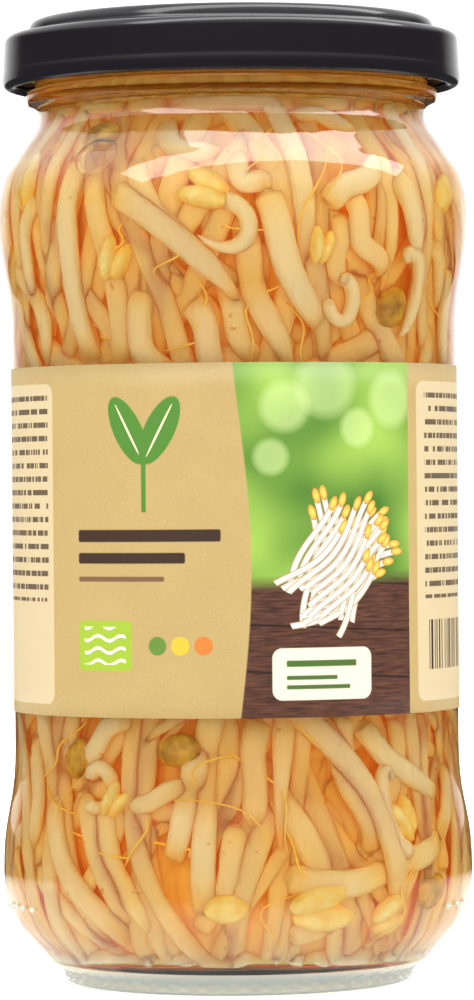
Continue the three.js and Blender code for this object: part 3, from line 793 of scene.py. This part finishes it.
def label_print():
    """Speckled kraft paper, plain printed panels and bars, and a picture of sprouts on a board."""
    paint = Paint("printed kraft paper")
    x = paint.attribute("arc_mm")
    y = paint.attribute("up_mm")
    flat = paint.joined(x, y)
    cloud = paint.noise(flat, 0.12, detail=4.0)
    fleck = paint.noise(flat, 3.2, detail=2.0)
    paper = paint.mix(cloud, rgb(172, 144, 86), rgb(184, 158, 100))
    paper = paint.mix(fleck.ramp(0.64, 0.72) * 0.4, paper, rgb(120, 92, 52))
    paper = paint.mix((1 - fleck.ramp(0.28, 0.34)) * 0.4, paper, rgb(206, 188, 146))
    ink = rgb(62, 40, 26)
    leaf = rgb(74, 128, 36)

    for left, right in ((-96, -29.5), (29.5, 97)):
        panel = box_mask(x, y, left, right, 1.6, 46.6, corner=1.6)
        paper = paint.mix(panel * 0.55, paper, rgb(216, 200, 166))
        bars = (abs((y % 1.9) - 0.95) < 0.38) * box_mask(x, y, left + 2, right - 1.2, 16, 45)
        line = y - y % 1.9
        broken = paint.noise(paint.joined(x * 1.9, line * 3.0), 1.0, detail=0.0) > 0.40
        paper = paint.mix(bars * broken * 0.85, paper, ink)

    stripes = paint.noise(paint.joined(x * 2.2), 1.0, detail=1.0) > 0.5
    paper = paint.mix(stripes * box_mask(x, y, 32.5, 46.5, 6, 13), paper, ink)

    paper = paint.mix(picture_share(x, y), paper, picture(paint, x, y, flat))

    shapes = []
    for turn in (118, 62):
        tilt = math.radians(turn)
        middle = (-13 + 5.1 * math.cos(tilt), 37 + 3.2 * math.sin(tilt))
        shapes.append((oval_mask(x, y, middle, (5.2, 2.2), turn), leaf))
        shapes.append((oval_mask(x, y, middle, (4.16, 0.16), turn), rgb(236, 222, 176)))
    shapes.append((box_mask(x, y, -13.35, -12.65, 28.5, 36), leaf))
    for low, high, right, color in (
        (24.4, 26.1, -2, ink), (21.4, 22.9, -7, ink), (18.9, 19.6, -10, rgb(120, 84, 52)),
    ):
        shapes.append((box_mask(x, y, -24, right, low, high, corner=0.3), color))
    shapes.append((box_mask(x, y, -24, -15, 6.5, 13.5, corner=0.8), rgb(150, 178, 40)))
    wave = abs((y + (x * 1.6).sin() * 0.35) % 1.7 - 0.85) < 0.22
    shapes.append((box_mask(x, y, -23, -16, 7.4, 12.6) * wave, rgb(246, 244, 220)))
    for middle, color in (
        (-11.1, rgb(96, 132, 44)), (-7.8, rgb(214, 176, 44)), (-4.5, rgb(200, 116, 40)),
    ):
        shapes.append((oval_mask(x, y, (middle, 10), (1.3, 1.3)), color))
    for mask, color in shapes:
        paper = paint.mix(mask, paper, color)

    back = paint.mix(paint.attribute("printed"), rgb(236, 228, 208), paper)
    fibre = paint.noise(flat, 6.0, detail=3.0)
    return paint.finish({
        "Base Color": back, "Roughness": 0.42 + fleck * 0.15, "Specular IOR Level": 0.35,
        "Normal": paint.bump(fibre, 0.00003),
    })


def picture_share(x, y):
    """Where the picture lies: right of a gently curved edge, up to the side panel."""
    edge = x - ((y * 0.075).sin() * 1.6 + 0.6)
    return edge.ramp(-0.1, 0.1) * (x < 27.5)


def picture(paint, x, y, flat):
    """Sunlit green with pale discs, a dark board below, and a bunch of stems across both."""
    drift = paint.noise(flat, 0.06, detail=1.0)
    green = paint.mix(drift.ramp(0.35, 0.65), rgb(60, 112, 20), rgb(150, 186, 70))
    for right, up, size in PICTURE_DISCS:
        disc = oval_mask(x, y, (right, up), (size, size), soft=0.4) * 0.4
        green = paint.mix(disc, green, rgb(206, 224, 150))
    grain = paint.noise(paint.joined(x * 0.25, y * 2.4), 1.2, detail=5.0)
    wood = paint.mix(grain.ramp(0.3, 0.7), rgb(56, 28, 18), rgb(104, 60, 38))
    seam = (abs((y + x * 0.05) % 6.5 - 3.25) > 3.1) * 0.7
    wood = paint.mix(seam, wood, rgb(24, 12, 8))
    view = paint.mix(1 - (y - x * 0.03).ramp(17.5, 19.5), green, wood)
    view = bunch(paint, x, y, view)
    view = paint.mix(box_mask(x, y, 5, 20, 2.4, 9.6, corner=1.4), view, rgb(226, 216, 190))
    for low, right, thick in ((7.0, 17.5, 0.9), (5.2, 14.5, 0.6), (3.9, 16.5, 0.6)):
        view = paint.mix(box_mask(x, y, 7, right, low, low + thick, corner=0.2), view, rgb(70, 104, 36))
    return view


def bunch(paint, x, y, view):
    """A loose bunch of pale stems that runs up to the right, each with a yellow head.

    Every layer is a row of stems side by side, wavy and turned its own way about the bunch's middle.
    A stem's number in its row gives, by a sine, its length and how far it is pushed along. It is
    palest along its middle, and every second or third one is left out.
    """
    for lean_deg, phase, half_count in PICTURE_LAYERS:
        lean = math.radians(lean_deg)
        right, above = x - BUNCH_MM[0], y - BUNCH_MM[1]
        along = right * math.cos(lean) + above * math.sin(lean)
        across = above * math.cos(lean) - right * math.sin(lean)
        number = (across + (along * 0.32 + phase).sin() * 0.9) / 1.15
        part = number % 1.0
        cell = number - part
        off = part * 2 - 1
        own = (cell * 12.99 + phase).sin()
        kept = (own > -0.45) * (abs(cell + 0.5) < half_count)
        end = (cell * 7.31 + phase).sin() * 2.5 + own * 2 + 7
        start = end - own * 4 - 12
        inside = (1 - off * off * 1.3).unit() * kept
        stem = paint.mix(inside, rgb(126, 92, 50), rgb(244, 234, 212))
        view = paint.mix((inside > 0.03) * (along < end) * (along > start), view, stem)
        head = (1 - ((along - end) / 1.1) ** 2 - off * off) * kept
        yellow = paint.mix(head.unit(), rgb(180, 120, 20), rgb(236, 196, 84))
        view = paint.mix(head > 0.0, view, yellow)
    return view


# The sprouts

GLASS_CLEAR_MM = 0.45
REACH_MM = 28.5
STEM_LOW_Z_MM = 5.4
STEM_HIGH_Z_MM = 124.5

# The sprouts that show in front, each as: start angle, start height, end angle, end height,
# sideways bow, stem radius and depth under the outermost layer
FRONT_SPROUTS = (
    (-47, 116, -42, 88, 1.5, 2.0, 0), (-42, 115, -34, 86, -2, 1.9, 0.6), (-34, 112, 2, 96, -2, 2.1, 0),
    (-29, 116, 2, 99, 1.5, 1.8, 0.9), (-25, 99, -16, 86, 3, 2.2, 0.3), (-12, 97, -4, 84, -1, 2.1, 0),
    (-62, 112, -67, 97, 1.5, 1.7, 0.2), (-79, 104, -61, 87, -3, 2.0, 0), (9, 112, 25, 92, 0.5, 2.3, 0),
    (3, 107, 17, 86, 1, 2.1, 0.4), (-1, 102, 8, 88, 2, 1.9, 0.9), (0, 116, 12, 112, 1, 1.7, 0.3),
    (26, 110, 45, 115, -1, 2.0, 0.2), (33, 112, 46, 101, 1.5, 1.9, 0.4), (30, 109, 33, 98, 1, 1.7, 1.0),
    (23, 87, 68, 95, 9, 1.9, 0), (48, 114, 55, 102, -1.5, 2.0, 0), (76, 103, 78, 86, 1, 2.1, 0),
    (64, 106, 73, 96, -1, 1.8, 0.6), (-22, 121, -3, 117, 2, 1.8, 0.5), (20, 121, 41, 119, -2, 1.8, 0.3),
    (-59, 28, -32, 9, 2, 2.1, 0), (-49, 28, -32, 10, -1, 1.8, 0.8), (-40, 27, -23, 10, 1, 2.2, 0),
    (-14, 29, -31, 25, 1, 1.7, 0.4), (-12, 35, -18, 19, -1, 2.0, 0.2), (-6, 41, -9, 12, 1, 2.1, 0),
    (0, 24, -11, 10, -1, 1.8, 0.6), (-30, 39, -47, 32, 1, 1.8, 0.3), (-71, 36, -67, 19, -1.5, 2.0, 0),
    (14, 41, 48, 9, -4, 2.2, 0), (22, 39, 38, 19, -1.5, 2.0, 0.5), (32, 39, 33, 28, 1, 1.7, 0.3),
    (37, 38, 68, 27, 2, 2.0, 0.1), (37, 30, 45, 18, 2, 1.8, 0.8), (12, 17, 67, 21, 2.5, 2.2, 0.2),
    (7, 39, 5, 23, 1, 2.0, 0.5), (29, 11, 14, 9, 1, 1.8, 0.3), (76, 31, 67, 16, 1, 1.9, 0.2),
)

# Angle, height, turn of the long side, length and width of what lies loose or sits on a stem
FRONT_HEADS = (
    (-7, 112, -70, 6.6, 4.4), (-33, 103, 20, 6, 3.8), (24, 104.5, 10, 5, 3.2),
    (-35, 27, 30, 5.4, 3.4), (23, 13, 80, 9.5, 5.6), (50, 24, -30, 6.4, 4.2), (44, 11.5, 70, 6, 4),
)
SEED_COATS = (
    (-42, 119, 60, 6.5, 4.6), (48, 96, 40, 7, 5), (-49, 33, 20, 6, 4.2), (-16, 34.5, 80, 6, 4.4),
    (60, 14, 75, 7, 4), (152, 108, 35, 6.4, 4.5), (-140, 24, -50, 6.6, 4.4),
)
BEAN_HALVES = (
    (-67, 114, 15, 8, 3.6), (70, 112, 60, 6, 4.2), (-3, 13, 85, 6.2, 4),
    (128, 26, 30, 6.4, 4.2), (-118, 107, -20, 6, 4),
)
SIDE_BANDS = (
    {"count": 14, "low": 92, "high": 117, "from": 84, "to": 280, "steep": 60},
    {"count": 14, "low": 14, "high": 34, "from": 80, "to": 286, "steep": 70},
    {"count": 5, "low": 48, "high": 80, "from": 0, "to": 360, "steep": 30},
)


def packed(z):
    """How far out the outermost sprouts reach at heights, in mm."""
    return inner_wall(np.clip(z, 6.5, BRINE_TOP_Z_MM)) - GLASS_CLEAR_MM


def draws(seed):
    """The solid's own repeatable run of numbers from 0 to 1."""
    state = seed
    while True:
        state = (state * 1664525 + 1013904223) % 4294967296
        yield state / 4294967296


def sprout_row(angle, z, lean, length, bow, radius, depth):
    """A sprout's row from its middle, its lean from upright in degrees and its length."""
    half_angle = math.degrees(length * math.sin(math.radians(lean)) / 2 / REACH_MM)
    half_rise = length * math.cos(math.radians(lean)) / 2
    return (angle - half_angle, z + half_rise, angle + half_angle, z - half_rise, bow, radius, depth)


def side_sprouts():
    """The sprouts round the sides and the back, by the same rule and draws as in the solid."""
    draw = draws(RNG_SEED)
    rows = []
    for band in SIDE_BANDS:
        for i in range(band["count"]):
            angle = band["from"] + (i + next(draw)) * (band["to"] - band["from"]) / band["count"]
            z = band["low"] + next(draw) * (band["high"] - band["low"])
            lean = (next(draw) * 2 - 1) * band["steep"]
            length = 20 + 16 * next(draw)
            bow = (next(draw) * 2 - 1) * 4
            radius = 1.6 + 0.6 * next(draw)
            rows.append(sprout_row(angle, z, lean, length, bow, radius, next(draw)))
    return rows


def random_sprout(rng):
    """A sprout at random round the jar: mostly upright, and seldom behind the label."""
    share = rng.random()
    low, high = next(zone[1:] for zone in FILLING_ZONES if share < zone[0])
    return sprout_row(
        rng.uniform(-180, 180), rng.uniform(low, high), float(np.clip(rng.normal(0, 36), -90, 90)),
        rng.uniform(38, 75), rng.normal(0, 5.5), rng.uniform(1.4, 2.2), rng.uniform(0, 0.8),
    )


def filling_sprouts(rng, packing, count):
    """What fills in behind, one by one: of a few random sprouts the one over the barest place."""
    t = np.linspace(0.05, 0.95, 30)
    for _ in range(count):
        tries = [random_sprout(rng) for _ in range(FILLING_TRIES)]
        bare = [packing.front[packing.cells(*course(row, t)[:2])].mean() for row in tries]
        yield tries[int(np.argmax(bare))]


class Packing:
    """How deep the jar is filled from the glass inwards, on a grid of angle and height.

    filled is the far side of what lies at a place, and front the near side of what shows there.
    """

    ANGLE_CELLS = 720
    Z_CELLS = 280

    def __init__(self):
        self.filled = np.zeros((self.ANGLE_CELLS, self.Z_CELLS))
        self.front = np.full((self.ANGLE_CELLS, self.Z_CELLS), CORE_DEPTH_MM)

    def cells(self, angle, z):
        """The cells of angles and heights."""
        column = np.round(angle / 360 * self.ANGLE_CELLS).astype(int) % self.ANGLE_CELLS
        row = np.clip(np.round(z * 2).astype(int), 0, self.Z_CELLS - 1)
        return column, row

    def pass_under(self, angle, z, width, depth):
        """The depth of a stem's outer side along its course, bent inwards under what is there already.

        width is half the stem's width at each step. The depth is the larger of its own and the fill
        across the width, less what the stems press into each other. That is widened by two steps and
        averaged over five, as a stem is too stiff to follow each gap.
        """
        arc = np.radians(np.gradient(angle)) * REACH_MM
        rise = np.gradient(z)
        run = np.hypot(arc, rise) + 1e-9
        side = np.linspace(-0.95, 0.95, 13)[:, None]
        cells = self.cells(
            angle + side * width * np.degrees(rise / run / REACH_MM), z - side * width * arc / run,
        )
        bulge = PRESSED * width * np.sqrt(1 - side ** 2)
        fill = np.maximum(self.filled[cells] - PRESS_IN_MM, 0)
        need = np.maximum(depth, (fill - (PRESSED * width - bulge)).max(axis=0))
        padded = np.pad(need, 3, mode="edge")
        wide = np.max([padded[i:i + len(need) + 4] for i in range(3)], axis=0)
        smooth = np.mean([wide[i:i + len(need)] for i in range(5)], axis=0)
        shown = width > 0.4
        near = smooth + PRESSED * width - bulge
        far = smooth + PRESSED * width + bulge
        keep = np.broadcast_to(shown, far.shape)
        columns, rows = cells
        np.maximum.at(self.filled, (columns[keep], rows[keep]), far[keep])
        np.minimum.at(self.front, (columns[keep], rows[keep]), near[keep])
        return smooth


CORE_DEPTH_MM = 3.4
CORE_RIB_MM = 0.8
CORE_LOW_Z_MM = 5.8
CORE_HIGH_Z_MM = 127.8
CORE_STEPS = 540
PRESS_IN_MM = 1.15
FILLING_TRIES = 24
FILLING_COUNT = 300
# Where the middle of a filling sprout may lie, each as: the draws below which it holds, low and high
FILLING_ZONES = ((0.45, 4, 42), (0.94, 86, 127), (1.0, 40, 86))
THREAD_COUNT = 70
GIRTH_MORE = 0.92
PRESSED = 0.52
STEM_ROWS = 28
STEM_SIDES = 12


def stem_steps():
    """Shares along a stem, closer together at its two ends."""
    even = np.linspace(0, 1, STEM_ROWS)
    return 0.45 * even + 0.55 * (1 - np.cos(np.pi * even)) / 2


def course(row, t):
    """Angles and heights along a sprout: a straight line swung sideways by 4t(1-t) times its bow."""
    start_angle, start_z, end_angle, end_z, bow, radius, _ = row
    turn = end_angle - start_angle
    across = math.radians(turn) * REACH_MM
    rise = end_z - start_z
    length = math.hypot(across, rise)
    swing = 4 * t * (1 - t)
    angle = start_angle + turn * t + math.degrees(bow / length * rise / REACH_MM) * swing
    z = start_z + rise * t - bow / length * across * swing
    return angle, np.clip(z, STEM_LOW_Z_MM + 0.7 * radius, STEM_HIGH_Z_MM), length


def girth_along(t, length, radius, rng, blunt_share):
    """Half widths along a stem: round or bluntly cut at its head, and blunt or drawn out to a root.

    A blunt end follows a quarter of an ellipse. A root narrows with the 0.6th power of what is left
    of its length. Two slow waves make the girth uneven.
    """
    end = min(0.25, radius * 0.8 / length)
    head = np.clip(1 - np.clip(1 - t / end, 0, 1) ** rng.uniform(2, 3.5), 0, 1) ** 0.5
    if rng.random() < blunt_share:
        tail = np.clip(1 - np.clip(1 - (1 - t) / end, 0, 1) ** rng.uniform(2, 3.5), 0, 1) ** 0.5
    else:
        tail = np.clip((1 - t) / rng.uniform(0.15, 0.35), 0, 1) ** 0.6
    slow = np.sin(t * rng.uniform(5, 9) + rng.uniform(0, 6))
    quick = np.sin(t * 31 + rng.uniform(0, 6))
    return radius * head * tail * (1 + 0.04 * slow + 0.01 * quick) * (1 - 0.15 * t)


def tubes(centres, girths, sides, flat=1.0, square=1.0):
    """Closed tubes round many centre lines at once.

    centres is (tube, step, 3) and girths (tube, step). Each ring lies across its line: its first
    axis points away from the jar's axis and is flattened, its second is the line's direction crossed
    with it. square is the power of the ring's cosine and sine: below 1 it fills out the corners.
    """
    centres, girths = np.array(centres), np.array(girths)
    tangent = np.gradient(centres, axis=1)
    tangent /= np.linalg.norm(tangent, axis=2, keepdims=True) + 1e-12
    outward = centres * np.array([1, 1, 0])
    outward = outward - (outward * tangent).sum(axis=2, keepdims=True) * tangent
    outward /= np.linalg.norm(outward, axis=2, keepdims=True) + 1e-12
    across = np.cross(tangent, outward)
    turn = np.linspace(0, 2 * np.pi, sides, endpoint=False)[None, None, :, None]
    girth = girths[:, :, None, None]
    out = np.sign(np.cos(turn)) * np.abs(np.cos(turn)) ** square
    side = np.sign(np.sin(turn)) * np.abs(np.sin(turn)) ** square
    ring = flat * out * outward[:, :, None, :] + side * across[:, :, None, :]
    return centres[:, :, None, :] + girth * ring


def tube_faces(count, rows, sides):
    """The quads of many tubes, one after the other, faces outward."""
    one = grid_faces(rows, sides)
    return (one[None] + (np.arange(count) * rows * sides)[:, None, None]).reshape(-1, 4)


def flesh_piece(name, points, faces, material, tone, along):
    """A piece of the bunch, with the tone and the share along its stem for the material to read."""
    shape = points.shape[:-1]
    numbers = {"tone": np.broadcast_to(tone, shape), "along": np.broadcast_to(along, shape)}
    piece = new_piece(name, points * MM, faces, [material], numbers=numbers)
    return dress(piece, "jar", "sprout_flesh", "sprout_bunch")


def make_stems(name, rows, packing, rng, material, blunt_share=0.6):
    """Sprouts laid one under the other, flattened against each other and against the glass."""
    t = stem_steps()
    centres, girths, tones = [], [], []
    for row in rows:
        radius, depth = row[5] * GIRTH_MORE, row[6]
        angle, z, length = course(row, t)
        sway = rng.uniform(0.2, 0.9) * np.sin(t * rng.uniform(4, 8) + rng.uniform(0, 6))
        sway = sway * np.sin(np.pi * t)
        slope = math.atan2(row[3] - row[1], math.radians(row[2] - row[0]) * REACH_MM)
        angle = angle + math.degrees(math.sin(slope) / REACH_MM) * sway
        z = z - math.cos(slope) * sway
        girth = girth_along(t, length, radius, rng, blunt_share)
        side = packing.pass_under(angle, z, girth, depth + 2.0 * (2 * t - 1) ** 6)
        if np.median(side) > CORE_DEPTH_MM:
            continue
        centres.append(around(angle, packed(z) - side - PRESSED * girth, z))
        girths.append(girth)
        tones.append(rng.random())
    points = tubes(centres, girths, STEM_SIDES, PRESSED, 0.85)
    faces = tube_faces(*points.shape[:3])
    tone = np.array(tones)[:, None, None]
    return flesh_piece(name, points, faces, material, tone, t[None, :, None])


# Sprouts that curl back: stem radius, then the control points of a Bezier curve as angle and height
CURLED_SPROUTS = (
    (1.25, ((-3, 110.6), (6, 110.5), (8, 104.5), (0, 102.0), (-9, 106))),
    (1.3, ((46, 30), (41, 35), (40, 22), (46, 20), (51, 19.5))),
    (1.2, ((30, 100), (37, 100), (35, 91), (27, 93), (26, 97))),
    (1.3, ((51, 103), (58, 107), (62, 98), (55, 93), (50, 92))),
    (1.2, ((-44, 30.5), (-37, 35), (-33, 28), (-38, 24), (-44, 27))),
    (1.3, ((100, 108), (112, 110), (116, 98), (104, 96), (98, 100))),
    (1.2, ((165, 30), (178, 34), (182, 20), (170, 18), (162, 22))),
    (1.3, ((-120, 98), (-110, 104), (-104, 94), (-114, 90), (-122, 92))),
)


def make_curled(packing, rng, material):
    """The sprouts that curl back: each point is the sum of the control points times their shares.

    The share of point k of n is the Bernstein polynomial C(n, k) (1-t)^(n-k) t^k.
    """
    t = stem_steps()
    centres, girths = [], []
    for radius, knots in CURLED_SPROUTS:
        order = len(knots) - 1
        shares = np.array([
            math.comb(order, k) * (1 - t) ** (order - k) * t ** k for k in range(order + 1)
        ])
        angle, z = np.array(knots, float).T @ shares
        girth = girth_along(t, 16, radius, rng, 0.5)
        side = packing.pass_under(angle, z, girth, 0.1)
        centres.append(around(angle, packed(z) - side - 0.8 * girth, z))
        girths.append(girth)
    points = tubes(centres, girths, STEM_SIDES, 0.8)
    faces = tube_faces(*points.shape[:3])
    return flesh_piece("curled_sprouts", points, faces, material, 0.3, t[None, :, None] * 0.9)


def make_core(material):
    """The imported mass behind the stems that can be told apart: an upright body ribbed like stems.

    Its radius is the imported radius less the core's depth, plus ribs |sin(18 a + drift)|, whose drift
    with height makes them lean to and fro. In the neck it comes closer to the glass.
    """
    angle = np.linspace(-180, 180, CORE_STEPS, endpoint=False)[None, :]
    height = np.linspace(CORE_LOW_Z_MM + 0.1, CORE_HIGH_Z_MM, 150)[:, None]
    drift = 2.6 * np.sin(height * 0.11 + 2 * np.sin(np.radians(angle * 2)))
    drift = drift + 1.1 * np.sin(height * 0.23 + np.radians(angle * 5))
    ribs = np.abs(np.sin(np.radians(angle * 18) + drift))
    depth = np.interp(height, (7, 15, 108, 116, 124), (2.4, CORE_DEPTH_MM, CORE_DEPTH_MM, 3.6, 2.6))
    radius = packed(height) - depth - CORE_RIB_MM * (1 - ribs)
    wall = around(angle, radius, height)
    low = np.array([[[0, 0, CORE_LOW_Z_MM]] * CORE_STEPS])
    high = np.array([[[0, 0, CORE_HIGH_Z_MM + 0.3]] * CORE_STEPS])
    points = np.concatenate([low, wall, high])
    return flesh_piece("packed_middle", points, grid_faces(*points.shape[:2]), material, 0.6, 0.5)


def oval(row, thickness, depth=0.0, cup=0.0, crease=0.0, rows=20, sides=24):
    """A plump oval at a row's angle and height, its long side turned by the row's turn.

    With u along and v round: long = cos u, wide = sin u cos v, out = sin u sin v, each times half its
    size. cup bends its two ends inwards by long squared, and crease ripples its girth.
    """
    angle, z, turn, length, width = row
    u = np.linspace(0, np.pi, rows)[:, None]
    v = np.linspace(0, 2 * np.pi, sides, endpoint=False)[None, :]
    ripple = 1 + crease * np.sin(3 * v + 5 * np.cos(u)) * np.sin(7 * np.cos(u) + v)
    wide, out, long = ball((width / 2, thickness / 2, length / 2), rows, sides)
    bend = cup * (np.cos(u) ** 2) + cup * (np.sin(u) * np.cos(v)) ** 2
    wide = wide * ripple
    out = out * ripple - bend
    middle = around(angle, packed(z) - thickness / 2 - depth, z)
    outward = around(angle, 1.0, 0.0)
    side = around(angle + 90, 1.0, 0.0)
    turned_by = math.radians(turn)
    up = np.array([0, 0, 1.0])
    long_way = up * math.cos(turned_by) + side * math.sin(turned_by)
    wide_way = np.cross(long_way, outward)
    return middle + long[..., None] * long_way + wide[..., None] * wide_way + out[..., None] * outward


def oval_piece(name, shapes, slot, node, material):
    """One piece of one or more ovals."""
    rows, sides = shapes[0].shape[:2]
    points = np.array(shapes) * MM
    faces = tube_faces(len(shapes), rows, sides)
    return dress(new_piece(name, points, faces, [material]), "jar", slot, node)


def keep_room(packing, rows, thickness):
    """Marks where loose ovals lie against the glass, so that the stems pass under them."""
    for angle, z, turn, length, width in rows:
        t = np.linspace(-0.5, 0.5, 9)
        lean = math.radians(turn)
        angles = angle + np.degrees(t * length * math.sin(lean) / REACH_MM)
        heights = z + t * length * math.cos(lean)
        half = width / 2 * np.sqrt(np.clip(1 - (2 * t) ** 2, 0.01, 1))
        packing.pass_under(angles, heights, half, thickness - PRESSED * width)


def make_loose(packing, yellow, green):
    """The loose coats and halves, each in its own piece, and the paired heads that sit on stems."""
    for i, row in enumerate(SEED_COATS, 1):
        coat = oval(row, 1.3, 0.25, cup=0.5, crease=0.12)
        oval_piece(f"olive_coat_{i}", [coat], "seed_coat_green", f"seed_coat_{i}", green)
    for i, row in enumerate(BEAN_HALVES, 1):
        half = oval(row, 1.9, 0.2, cup=0.35, crease=0.03)
        oval_piece(f"yellow_half_{i}", [half], "bean_yellow", f"bean_half_{i}", yellow)
    shapes = []
    for angle, z, turn, length, width in FRONT_HEADS:
        spread = math.degrees(width * 0.24 / REACH_MM)
        lean = math.radians(turn)
        for side in (-1, 1):
            half = (
                angle + side * spread * math.cos(lean), z - side * width * 0.24 * math.sin(lean),
                turn + side * 9, length * (1 - 0.06 * side), width * 0.66,
            )
            shapes.append(oval(half, 2.8, 0.15 + 0.25 * side, cup=0.2, crease=0.05))
    oval_piece("bean_heads", shapes, "bean_yellow", "sprout_bunch", yellow)
    keep_room(packing, SEED_COATS, 1.6)
    keep_room(packing, BEAN_HALVES, 2.2)
    keep_room(packing, FRONT_HEADS, 3.0)


def make_bubble(material):
    """The flat air bubble under the shoulder: an ellipsoid pressed against the glass."""
    rows, sides = 25, 48
    wide, high, thick = BUBBLE_SIZE_MM
    side, up, deep = ball((wide / 2, high / 2, thick / 2), rows, sides)
    z = BUBBLE_Z_MM + up
    radius = inner_wall(z) - thick / 2 - BUBBLE_CLEAR_MM - deep
    points = around(BUBBLE_DEG + np.degrees(side / REACH_MM), radius, z)
    bubble = new_piece("air_bubble", points * MM, grid_faces(rows, sides), [material])
    return dress(bubble, "jar", "amber_brine", "brine")


def make_threads(rng, material):
    """Fine yellow root threads that wander over the outer sprouts."""
    rows, sides = 20, 6
    steps = np.linspace(0, 1, rows)
    centres, girths = [], []
    for _ in range(THREAD_COUNT):
        z = rng.uniform(9, 38) if rng.random() < 0.5 else rng.uniform(90, 122)
        angle = rng.uniform(-180, 180)
        lean = rng.uniform(-80, 80)
        length = rng.uniform(7, 20)
        bow = rng.normal(0, 3)
        angle, z, _ = course(sprout_row(angle, z, lean, length, bow, 0.3, 0), steps)
        angle = angle + 2.2 * np.sin(steps * rng.uniform(5, 14) + rng.uniform(0, 6))
        depth = rng.uniform(0.2, 1.6) + 0.5 * np.sin(steps * 7)
        centres.append(around(angle, packed(z) - 0.3 - np.abs(depth), z))
        girths.append(rng.uniform(0.1, 0.22) * np.sqrt(np.clip(np.sin(np.pi * steps), 0, 1)))
    points = tubes(centres, girths, sides)
    faces = tube_faces(len(points), rows, sides)
    threads = new_piece("root_threads", points * MM, faces, [material])
    return dress(threads, "jar", "bean_yellow", "sprout_bunch")


def main():
    """Builds every piece round the frame."""
    set_camera()
    set_scene()
    set_light()
    lay_floor(floor_finish())
    wetted = clear_skin("wetted glass", "BsdfRefraction", GLASS_IOR)
    make_jar(dry_glass(), foot_glass(), wetted)
    make_mould_dots(foot_glass())
    make_brine(amber_brine())
    make_lid(lid_lacquer(), inner_lacquer())
    make_gasket(gasket_compound())
    make_label(label_print())
    rng = np.random.default_rng(RNG_SEED)
    packing = Packing()
    flesh = sprout_flesh()
    make_loose(packing, bean_yellow(), coat_green())
    make_curled(packing, rng, flesh)
    make_stems("front_sprouts", FRONT_SPROUTS, packing, rng, flesh, blunt_share=0.65)
    make_stems("packed_sprouts", side_sprouts(), packing, rng, flesh)
    for number in (1, 2):
        rows = filling_sprouts(rng, packing, FILLING_COUNT)
        make_stems(f"filling_sprouts_{number}", rows, packing, rng, flesh, blunt_share=0.25)
    make_core(flesh)
    make_threads(rng, root_finish())
    make_bubble(clear_skin("bubble skin", "BsdfGlass", 1 / BRINE_IOR))


main()
